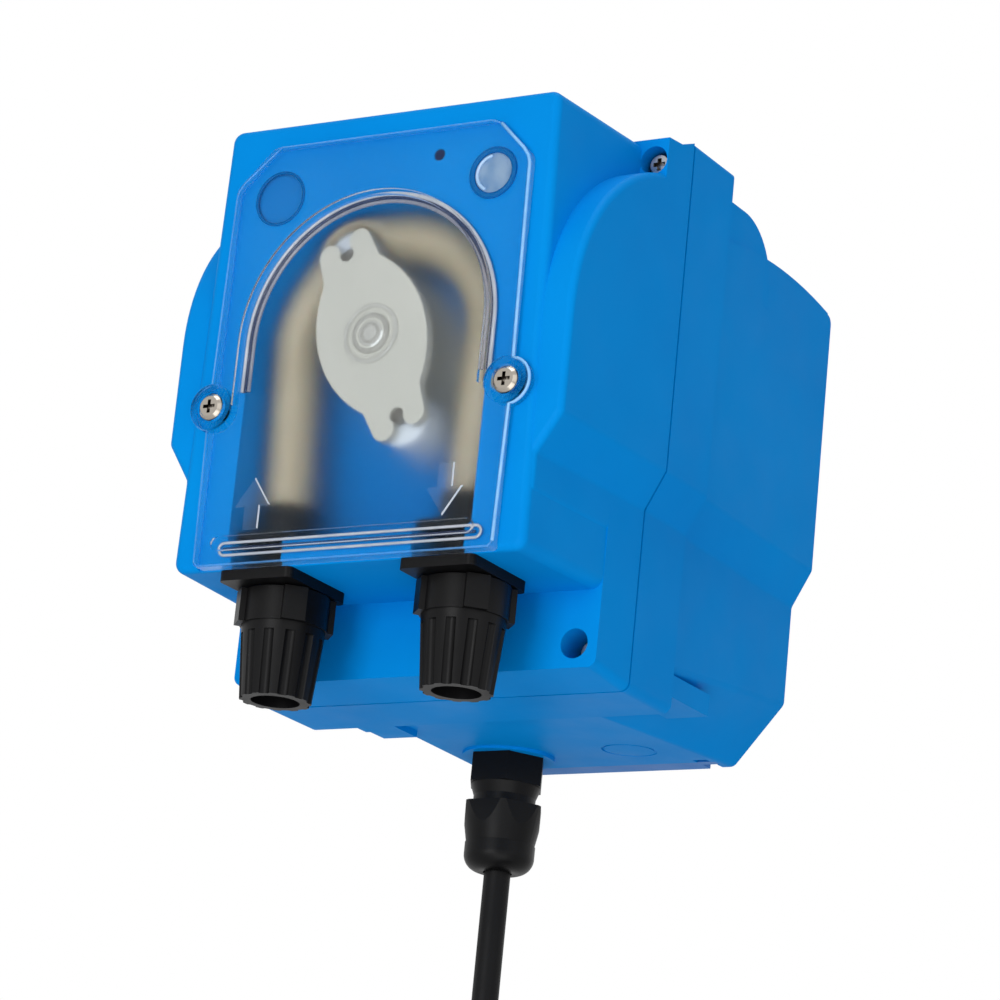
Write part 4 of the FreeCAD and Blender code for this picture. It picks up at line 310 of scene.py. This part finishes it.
def clear_plastic(name):
    """Clear moulded plastic, polished outside and matt on its back, that lets the lamps through."""
    material, tree, shader = new_material(name)
    shader.inputs["Base Color"].default_value = srgb(246, 249, 251)
    shader.inputs["Transmission Weight"].default_value = 1.0
    shader.inputs["IOR"].default_value = 1.2
    shader.inputs["Specular Tint"].default_value = (0.3, 0.42, 0.55, 1.0)
    sheen = tree.nodes.new("ShaderNodeMapRange")
    sheen.inputs["To Min"].default_value = 0.05
    sheen.inputs["To Max"].default_value = 0.8
    tree.links.new(behind(tree, COVER_BACK_DEPTH), sheen.inputs["Value"])
    tree.links.new(sheen.outputs["Result"], shader.inputs["Roughness"])
    round_edges(tree, shader, 0.35 * MM)
    open_way = tree.nodes.new("ShaderNodeBsdfTransparent")
    open_way.inputs["Color"].default_value = (0.94, 0.95, 0.96, 1.0)
    mix = tree.nodes.new("ShaderNodeMixShader")
    tree.links.new(any_ray(tree, "Is Shadow Ray", "Is Diffuse Ray"), mix.inputs["Fac"])
    tree.links.new(shader.outputs["BSDF"], mix.inputs[1])
    tree.links.new(open_way.outputs["BSDF"], mix.inputs[2])
    tree.links.new(mix.outputs["Shader"], tree.nodes["Material Output"].inputs["Surface"])
    return material


def soft_tube(name):
    """Milky brown tube rubber that lets a little light through."""
    material, tree, shader = new_material(name)
    vary_color(tree, shader, noise(tree, 40.0), srgb(176, 163, 136), srgb(190, 177, 150))
    shader.inputs["Roughness"].default_value = 0.42
    shader.inputs["Subsurface Weight"].default_value = 0.25
    shader.inputs["Subsurface Scale"].default_value = 1.5 * MM
    bump(tree, shader, noise(tree, 900.0), 0.03, 0.2 * MM)
    return material


def frosted(name, first, second, alpha):
    """Clear plastic whose surface scatters a share of the light; most of the painted highlight and painted
    shade lines are made of it.
    """
    material, tree, shader = new_material(name)
    vary_color(tree, shader, noise(tree, 300.0), first, second)
    shader.inputs["Roughness"].default_value = 0.25
    shader.inputs["Alpha"].default_value = alpha
    return material


MATERIALS = {
    # The arrow, bead, edge, glint, hub groove, blind and rim materials are painted highlight and painted
    # shade
    "arrow_lit_side": frosted("arrow_lit_side", srgb(226, 234, 242), srgb(240, 245, 250), 0.85),
    "arrow_shaded_side": frosted("arrow_shaded_side", srgb(150, 180, 215), srgb(165, 192, 222), 0.2),
    "arrow_top": frosted("arrow_top", srgb(210, 222, 235), srgb(220, 230, 240), 0.05),
    "bead_highlight": frosted("bead_highlight", srgb(180, 188, 200), srgb(198, 202, 210), 0.85),
    "bead_shade": frosted("bead_shade", srgb(40, 54, 92), srgb(56, 68, 104), 0.6),
    "bead_inner_highlight": frosted("bead_inner_highlight", srgb(150, 152, 165), srgb(165, 164, 172), 0.6),
    "edge_highlight": frosted("edge_highlight", srgb(130, 196, 252), srgb(150, 208, 255), 0.8),
    "edge_dim_highlight": frosted("edge_dim_highlight", srgb(90, 165, 235), srgb(105, 175, 240), 0.35),
    "hub_glint": frosted("hub_glint", srgb(236, 236, 232), srgb(246, 246, 242), 0.95),
    "glint": frosted("lens_glint", srgb(170, 208, 246), srgb(188, 218, 250), 0.9),
    "housing": moulded_plastic("housing_blue", srgb(0, 132, 214), srgb(0, 138, 220), 0.5, specular=0.03),
    "bracket": moulded_plastic("bracket_blue", srgb(4, 108, 188), srgb(6, 114, 194), 0.5, specular=0.3),
    "gasket": moulded_plastic("gasket_dark", srgb(8, 30, 60), srgb(10, 36, 70), 0.6),
    "black": moulded_plastic(
        "fitting_black", srgb(8, 8, 9), srgb(13, 13, 14), 0.4, relief=0.05, specular=0.12
    ),
    "rotor": moulded_plastic("rotor_ivory", srgb(196, 195, 185), srgb(204, 202, 192), 0.5, specular=0.3),
    "plug": moulded_plastic("rotor_plug", srgb(180, 179, 172), srgb(202, 200, 193), 0.15, relief=0.01),
    "roller": moulded_plastic("roller_white", srgb(218, 226, 234), srgb(226, 232, 240), 0.4),
    "gear": moulded_plastic("gear_white", srgb(225, 222, 210), srgb(232, 229, 218), 0.4),
    "board": moulded_plastic("board_green", srgb(20, 92, 52), srgb(26, 102, 60), 0.35),
    "terminal": moulded_plastic("terminal_green", srgb(42, 130, 66), srgb(48, 140, 74), 0.45),
    "core": moulded_plastic("core_dark", srgb(52, 52, 55), srgb(66, 66, 70), 0.5),
    "cord": moulded_plastic(
        "cord_black", srgb(12, 12, 13), srgb(18, 18, 19), 0.5, grain=1800.0, relief=0.06, specular=0.12
    ),
    "cores": moulded_plastic("core_brown", srgb(96, 58, 34), srgb(108, 66, 40), 0.4),
    "lens": frosted("lens_pale", srgb(98, 138, 180), srgb(146, 172, 198), 1.0),
    "led": moulded_plastic("led_dark", srgb(4, 22, 60), srgb(8, 30, 74), 0.3, specular=0.2),
    "steel": metal("steel_plated", srgb(190, 190, 188), 0.3),
    # The screws' cross recesses get a near-black brown painted shade
    "chrome": metal("screw_chrome", srgb(172, 165, 155), 0.16, recess_shade=(0.03, 0.02, 0.012, 1.0)),
    "pin": metal("pin_grey", srgb(104, 102, 98), 0.45),
    "blind": moulded_plastic("blind_shade_blue", srgb(0, 118, 196), srgb(0, 124, 202), 0.5, specular=0.05),
    "hub_groove_shade": moulded_plastic("hub_groove_shade", srgb(158, 156, 148), srgb(174, 172, 164), 0.4),
    "rim": moulded_plastic("rim_shade_blue", srgb(0, 92, 158), srgb(0, 98, 166), 0.5, specular=0.1),
    "bronze": metal("bronze", srgb(190, 150, 90), 0.32),
    "clear": clear_plastic("cover_clear"),
    "tube": soft_tube("tube_beige"),
}

NODE_MATERIALS = {
    "housing": ["rear_shell", "front_shell"],
    "bracket": ["wall_bracket"],
    "gasket": ["housing_gasket", "shaft_seal", "gland_seal"],
    "black": [
        "suction_port",
        "discharge_port",
        "suction_nut",
        "discharge_nut",
        "gland_body",
        "gland_lock_nut",
        "gland_dome_nut",
        "cord_tie",
        "motor_cap",
        "capacitor",
    ],
    "rotor": ["rotor_front_plate", "rotor_carrier"],
    "plug": ["rotor_screw"],
    "roller": ["roller_upper", "roller_lower"],
    "gear": ["output_wheel", "idler_gear"],
    "board": ["control_board", "indicator_board"],
    "terminal": ["terminal_block", "trimmer"],
    "core": ["transformer"],
    "cores": ["tail_wires", "supply_wires"],
    "lens": ["indicator_lens"],
    "led": ["status_led"],
    "steel": [
        "housing_screws",
        "output_shaft",
        "idler_arbor",
        "motor_shaft",
        "gearbox_front_plate",
        "gearbox_rear_plate",
        "gearbox_pillars",
        "gearbox_screws",
        "motor_can",
        "motor_screws",
        "board_screws",
        "terminal_screws",
    ],
    "chrome": ["cover_screws"],
    "pin": ["roller_pins"],
    "bronze": ["output_bushes", "motor_pinion"],
    "clear": ["head_cover"],
    "tube": ["pump_tube"],
}


def dress_nodes():
    """Gives every kept CAD node its material."""
    for material, names in NODE_MATERIALS.items():
        for name in names:
            mesh = nodes[name].data
            mesh.materials.clear()
            mesh.materials.append(MATERIALS[material])


# Cord


def coil_point(turns, radius, depth_turns):
    """A point of the coil after so many turns, starting at its left side and going down."""
    angle = math.pi + 2 * math.pi * turns
    centre_x = GLAND_X + TURN_RADIUS
    centre_z = GLAND_END_Z - CORD_HANG
    return (
        centre_x + radius * math.cos(angle),
        GLAND_Y - TURN_PITCH * depth_turns,
        centre_z + radius * math.sin(angle),
    )


def cord_points():
    """The route of the cord: down through the gland, round the coil's turns and out at its free end."""
    points = [
        (GLAND_X, GLAND_Y, CORD_TOP_Z),
        (GLAND_X, GLAND_Y, GLAND_END_Z + 16 * MM),
        (GLAND_X, GLAND_Y, GLAND_END_Z - 24 * MM),
        (GLAND_X, GLAND_Y, GLAND_END_Z - CORD_HANG + 12 * MM),
    ]
    total = INNER_TURNS + CLIMB_TURNS + OUTER_TURNS
    for step in range(total * POINTS_PER_TURN + 1):
        turns = step / POINTS_PER_TURN
        climb = min(max(turns - INNER_TURNS, 0.0) / CLIMB_TURNS, 1.0)
        radius = TURN_RADIUS + TURN_PITCH * climb
        back = max(turns - INNER_TURNS - CLIMB_TURNS, 0.0)
        points.append(coil_point(turns, radius, min(turns, INNER_TURNS) - back))
    end = points[-1]
    points.append((end[0], end[1], end[2] - 14 * MM))
    points.append((end[0], end[1], end[2] - CORD_TAIL))
    return points


def build_cord():
    """The cord as one smooth curve."""
    points = cord_points()
    curve = bpy.data.curves.new("supply_cord", "CURVE")
    curve.dimensions = "3D"
    curve.bevel_depth = CORD_DIAMETER / 2
    curve.bevel_resolution = 5
    curve.resolution_u = 4
    spline = curve.splines.new("NURBS")
    spline.points.add(len(points) - 1)
    for control, place in zip(spline.points, points):
        control.co = (*place, 1.0)
    spline.order_u = 3
    spline.use_endpoint_u = True
    curve.materials.append(MATERIALS["cord"])
    cord = bpy.data.objects.new("supply_cord", curve)
    bpy.context.collection.objects.link(cord)
    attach(cord, "housing")
    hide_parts("cord_lead", "cord_coil", "cord_tail")


# Small mouldings that the solids leave out


def add_piece(name, form, materials, body):
    """A mesh piece from a bmesh, riding on a body; a piece of several materials is shaded flat."""
    bmesh.ops.recalc_face_normals(form, faces=form.faces)
    mesh = bpy.data.meshes.new(name)
    form.to_mesh(mesh)
    form.free()
    for entry in materials:
        mesh.materials.append(MATERIALS[entry])
    for face in mesh.polygons:
        face.use_smooth = len(materials) == 1
    piece = bpy.data.objects.new(name, mesh)
    bpy.context.collection.objects.link(piece)
    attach(piece, body)
    return piece


def bridge(form, low, high):
    """Faces all round between two rings of as many corners."""
    count = len(low)
    for index in range(count):
        after = (index + 1) % count
        form.faces.new((low[index], low[after], high[after], high[index]))


def tube_along(points, radius, closed):
    """A round tube through points that lie in a plane that faces the front."""
    form = bmesh.new()
    rings = []
    count = len(points)
    for index, place in enumerate(points):
        before = points[index - 1] if closed or index > 0 else place
        after = points[(index + 1) % count] if closed or index < count - 1 else place
        along = (Vector(after) - Vector(before)).normalized()
        across = along.cross(Vector((0.0, 1.0, 0.0)))
        ring = []
        for side in range(TUBE_SIDES):
            angle = 2 * math.pi * side / TUBE_SIDES
            offset = across * math.cos(angle) + Vector((0.0, 1.0, 0.0)) * math.sin(angle)
            ring.append(form.verts.new(Vector(place) + offset * radius))
        rings.append(ring)
    for index in range(count if closed else count - 1):
        bridge(form, rings[index], rings[(index + 1) % count])
    if not closed:
        form.faces.new(rings[0])
        form.faces.new(rings[-1])
    return form


def circle(radius, x, y, z, count=48, start=0.0, turn=2 * math.pi):
    """Points round a circle that faces the front."""
    points = []
    for step in range(count):
        angle = start + turn * step / (count if turn == 2 * math.pi else count - 1)
        points.append((x + radius * math.cos(angle), y, z + radius * math.sin(angle)))
    return points


def build_bead():
    """The painted highlight and painted shade lines of the cover's bead, which follows the track's arch, and
    of the bar below it.
    """
    # Each bead line is a tube of painted highlight or painted shade
    for name, radius, thickness, material in BEAD_LINES:
        points = [(BEAD_SHIFT + radius, MARK_Y, BEAD_END_Z)]
        points += circle(radius, BEAD_SHIFT, MARK_Y, ROTOR_Z, 49, 0.0, math.pi)
        points.append((BEAD_SHIFT - radius, MARK_Y, BEAD_END_Z))
        form = tube_along(points, thickness, False)
        add_piece(name, form, [material], "housing")
    # The bar's outline is a painted highlight and its middle line is painted shade
    reach = BAR_HALF - BAR_HALF_HEIGHT
    right = circle(BAR_HALF_HEIGHT, BAR_SHIFT + reach, MARK_Y, BAR_Z, 13, -math.pi / 2, math.pi)
    left = circle(BAR_HALF_HEIGHT, BAR_SHIFT - reach, MARK_Y, BAR_Z, 13, math.pi / 2, math.pi)
    form = tube_along(right + left, BAR_THICKNESS, True)
    add_piece("cover_bar", form, ["bead_highlight"], "housing")
    middle = [(BAR_SHIFT - reach, MARK_Y, BAR_Z), (BAR_SHIFT + reach, MARK_Y, BAR_Z)]
    form = tube_along(middle, BAR_MIDDLE_THICKNESS, False)
    add_piece("cover_bar_middle", form, ["bead_shade"], "housing")


def build_cover_edge():
    """Painted highlight lines along the cover's rounded front edge, brightest along its right side."""
    lobe = circle(LOBE_RADIUS, COVER_HALF, EDGE_Y, COVER_SCREW_Z, 17, -LOBE_TURN, 2 * LOBE_TURN)
    slope = COVER_TOP_Z - COVER_CHAMFER
    flat = COVER_HALF - COVER_CHAMFER
    side = [(COVER_HALF, EDGE_Y, COVER_LOW_Z + EDGE_CORNER)] + lobe
    side += [
        (COVER_HALF, EDGE_Y, slope - 2.0 * MM),
        (COVER_HALF - 0.4 * MM, EDGE_Y, slope - 0.4 * MM),
        (COVER_HALF - 1.6 * MM, EDGE_Y, slope + 1.4 * MM),
        (flat + 1.0 * MM, EDGE_Y, COVER_TOP_Z - 1.0 * MM),
    ]
    # Painted highlight, bright, along the right side
    form = tube_along(side, EDGE_HIGHLIGHT_THICKNESS, False)
    add_piece("cover_edge_highlight_right", form, ["edge_highlight"], "housing")
    reach = flat - 1.5 * MM
    rest = [side[-1], (reach, EDGE_Y, COVER_TOP_Z), (-reach, EDGE_Y, COVER_TOP_Z)]
    rest += [(-x, y, z) for x, y, z in reversed(side[:-1])]
    rest += [
        (-COVER_HALF + EDGE_CORNER, EDGE_Y, COVER_LOW_Z),
        (COVER_HALF - EDGE_CORNER, EDGE_Y, COVER_LOW_Z),
        side[0],
    ]
    # Painted highlight, dimmer, round the rest of the edge
    form = tube_along(rest, EDGE_DIM_HIGHLIGHT_THICKNESS, False)
    add_piece("cover_edge_highlight_left", form, ["edge_dim_highlight"], "housing")


def build_collars():
    """The black collars that close the pump tube's ends on the ports."""
    for name, side in (("suction_collar", -1), ("discharge_collar", 1)):
        form = bmesh.new()
        rings = []
        for radius, height in COLLAR_PROFILE:
            ring = []
            for step in range(COLLAR_SIDES):
                angle = 2 * math.pi * step / COLLAR_SIDES
                across = radius * math.cos(angle)
                along = radius * math.sin(angle)
                place = (side * PORT_X + across, PORT_Y + along, HEAD_Z + height)
                ring.append(form.verts.new(place))
            rings.append(ring)
        for low, high in zip(rings, rings[1:]):
            bridge(form, low, high)
        add_piece(name, form, ["black"], "housing")


def dome(radius, height, x, y, z):
    """A shallow dome that faces the front, with its rim at y."""
    form = bmesh.new()
    rings = []
    for step in range(DOME_STEPS):
        tilt = step / DOME_STEPS * math.pi / 2
        reach = radius * math.cos(tilt)
        rise = height * math.sin(tilt)
        ring = []
        for side in range(DOME_SIDES):
            angle = 2 * math.pi * side / DOME_SIDES
            ring.append(form.verts.new((x + reach * math.cos(angle), y - rise, z + reach * math.sin(angle))))
        rings.append(ring)
    for low, high in zip(rings, rings[1:]):
        bridge(form, low, high)
    form.faces.new(rings[-1])
    return form


def build_rims():
    """The fine rings round the indicator, the blind boss and the rotor's hub, and the hub's cap; the glints
    are painted highlights, and the lens seat, the blind rim and disc, the hub groove and the hub eye are
    painted shade.
    """
    # Painted highlight: a pale crescent on the lens
    arc = circle(LENS_GLINT_RADIUS, LENS_X, SEAT_Y - LENS_GLINT_PROUD, LENS_Z, *LENS_GLINT_ARC)
    add_piece("lens_glint", tube_along(arc, LENS_GLINT_THICKNESS, False), ["glint"], "housing")
    # Painted shade: a dark ring round the lens's recess
    form = tube_along(circle(LENS_SEAT_SHADE_RADIUS, LENS_X, SEAT_Y, LENS_Z), LENS_SEAT_SHADE_THICKNESS, True)
    add_piece("lens_seat_shade", form, ["rim"], "housing")
    # Painted shade: a dark ring at the edge of the blind recess
    form = tube_along(circle(BLIND_RIM_SHADE_RADIUS, -LENS_X, SEAT_Y, LENS_Z), BLIND_RIM_SHADE_THICKNESS, True)
    add_piece("blind_rim_shade", form, ["rim"], "housing")
    # Painted shade: a darker disc inside the blind recess
    form = dome(BLIND_DISC_RADIUS, BLIND_DISC_HEIGHT, -LENS_X, SEAT_Y + BLIND_DISC_DEPTH, LENS_Z)
    add_piece("blind_disc_shade", form, ["blind"], "housing")
    # The hub groove and hub eye rings are painted shade; the outer hub ring has the plug's own colour
    for name, radius, thickness, material in HUB_RINGS:
        form = tube_along(circle(radius, 0.0, PLATE_Y - HUB_PROUD, ROTOR_Z), thickness, True)
        add_piece(name, form, [material], "rotor")
    # Painted highlight: a white arc at the hub's lower right
    arc = circle(HUB_GLINT_RADIUS, 0.0, PLATE_Y - HUB_GLINT_PROUD, ROTOR_Z, *HUB_GLINT_ARC)
    form = tube_along(arc, HUB_GLINT_THICKNESS, False)
    add_piece("hub_glint", form, ["hub_glint"], "rotor")
    form = dome(HUB_CAP_RADIUS, HUB_CAP_HEIGHT, 0.0, PLATE_Y, ROTOR_Z)
    cap = add_piece("hub_cap", form, ["plug"], "rotor")
    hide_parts("rotor_screw")


def arrow_corners(shrink):
    """The outline of an arrow that points up, with its tip at the origin."""
    return [
        (0.0, -2.0 * shrink),
        (ARROW_HALF - 2.0 * shrink, -ARROW_HEAD + shrink),
        (ARROW_STEM_HALF - shrink, -ARROW_HEAD + shrink),
        (ARROW_STEM_HALF - shrink, -ARROW_LENGTH + shrink),
        (-ARROW_STEM_HALF + shrink, -ARROW_LENGTH + shrink),
        (-ARROW_STEM_HALF + shrink, -ARROW_HEAD + shrink),
        (-ARROW_HALF + 2.0 * shrink, -ARROW_HEAD + shrink),
    ]


def flow_arrow(name, x, z, way):
    """A raised arrow on the cover's face, with its tip at x and z; way is 1 for up and -1 for down. Its side
    faces carry painted highlight or painted shade by the way they face.
    """
    form = bmesh.new()
    rings = []
    for shrink, height in ((0.0, 0.0), (ARROW_SLOPE, ARROW_HEIGHT)):
        ring = []
        for across, along in arrow_corners(shrink):
            ring.append(form.verts.new((x + across, ARROW_FACE - height, HEAD_Z + z + way * along)))
        rings.append(ring)
    low, high = rings
    count = len(low)
    for index in range(count):
        after = (index + 1) % count
        side = form.faces.new((low[index], low[after], high[after], high[index]))
        side.normal_update()
        # Painted light: side faces turned one way get the bright material, the others the dim one
        outward = side.normal.x if way < 0 else -side.normal.x
        side.material_index = 0 if outward > ARROW_LIT_FACING else 1
    form.faces.new(high).material_index = 2
    materials = ["arrow_lit_side", "arrow_shaded_side", "arrow_top"]
    add_piece(name, form, materials, "housing")


def build_arrows():
    """The two flow arrows, up over the suction side and down over the discharge side."""
    for name, x, z, way in ARROWS:
        flow_arrow(name, x, z, way)


# Stage


def place_camera():
    """The photograph's camera."""
    data = bpy.data.cameras.new("camera")
    data.lens = CAMERA_LENS
    data.sensor_width = 36.0
    data.clip_start = 0.05
    data.clip_end = 20.0
    camera = bpy.data.objects.new("camera", data)
    bpy.context.collection.objects.link(camera)
    right = Vector(CAMERA_RIGHT)
    up = -Vector(CAMERA_DOWN)
    back = -Vector(CAMERA_AHEAD)
    turn = Matrix((right, up, back)).transposed().to_4x4()
    camera.matrix_world = Matrix.Translation(CAMERA_PLACE) @ turn
    bpy.context.scene.camera = camera


def area_light(name, place, target, size, power):
    """A square soft light that looks at a point."""
    data = bpy.data.lights.new(name, "AREA")
    data.shape = "SQUARE"
    data.size = size
    data.energy = power
    light = bpy.data.objects.new(name, data)
    bpy.context.collection.objects.link(light)
    light.location = place
    direction = Vector(target) - Vector(place)
    light.rotation_euler = direction.to_track_quat("-Z", "Y").to_euler()


def light_stage():
    """Soft studio light, strongest on the front."""
    middle = (0.0, -0.06, 0.0)
    area_light("key", (0.0, -1.35, -0.12), middle, 0.6, 7.0)
    area_light("fill", (0.95, -0.55, 0.25), middle, 0.9, 1.8)
    area_light("under", (0.45, -0.7, -0.7), middle, 0.9, 4.6)
    area_light("top", (0.1, -0.1, 1.1), middle, 0.8, 5.0)


def pale_world():
    """A pale surround: white to the camera, softer as light."""
    world = bpy.data.worlds.new("surround")
    world.use_nodes = True
    tree = world.node_tree
    background = tree.nodes["Background"]
    background.inputs["Color"].default_value = (1.0, 1.0, 1.0, 1.0)
    background.inputs["Strength"].default_value = 0.4
    seen = tree.nodes.new("ShaderNodeBackground")
    seen.inputs["Color"].default_value = (1.0, 1.0, 1.0, 1.0)
    seen.inputs["Strength"].default_value = 1.0
    mix = tree.nodes.new("ShaderNodeMixShader")
    seen_rays = any_ray(tree, *SEEN_RAYS)
    tree.links.new(seen_rays, mix.inputs["Fac"])
    tree.links.new(background.outputs["Background"], mix.inputs[1])
    tree.links.new(seen.outputs["Background"], mix.inputs[2])
    tree.links.new(mix.outputs["Shader"], tree.nodes["World Output"].inputs["Surface"])
    bpy.context.scene.world = world


def pale_floor():
    """A pale floor well below the hanging cord, mostly white to the camera."""
    mesh = bpy.data.meshes.new("floor")
    form = bmesh.new()
    bmesh.ops.create_grid(form, x_segments=1, y_segments=1, size=FLOOR_HALF)
    form.to_mesh(mesh)
    form.free()
    floor = bpy.data.objects.new("floor", mesh)
    bpy.context.collection.objects.link(floor)
    floor.location = (0.0, 0.0, cad_box[0][2] - FLOOR_DROP)
    material, tree, shader = new_material("floor_pale")
    shader.inputs["Base Color"].default_value = (0.85, 0.85, 0.85, 1.0)
    shader.inputs["Roughness"].default_value = 0.9
    white = tree.nodes.new("ShaderNodeEmission")
    share = tree.nodes.new("ShaderNodeMath")
    share.operation = "MULTIPLY"
    share.inputs[1].default_value = FLOOR_WHITE
    mix = tree.nodes.new("ShaderNodeMixShader")
    seen_rays = any_ray(tree, *SEEN_RAYS)
    tree.links.new(seen_rays, share.inputs[0])
    tree.links.new(share.outputs["Value"], mix.inputs["Fac"])
    tree.links.new(shader.outputs["BSDF"], mix.inputs[1])
    tree.links.new(white.outputs["Emission"], mix.inputs[2])
    tree.links.new(mix.outputs["Shader"], tree.nodes["Material Output"].inputs["Surface"])
    mesh.materials.append(material)


place_camera()
build_cord()
dress_nodes()
build_bead()
build_cover_edge()
build_collars()
build_rims()
build_arrows()
light_stage()
pale_world()
pale_floor()
scene = bpy.context.scene
scene.view_settings.view_transform = "Standard"
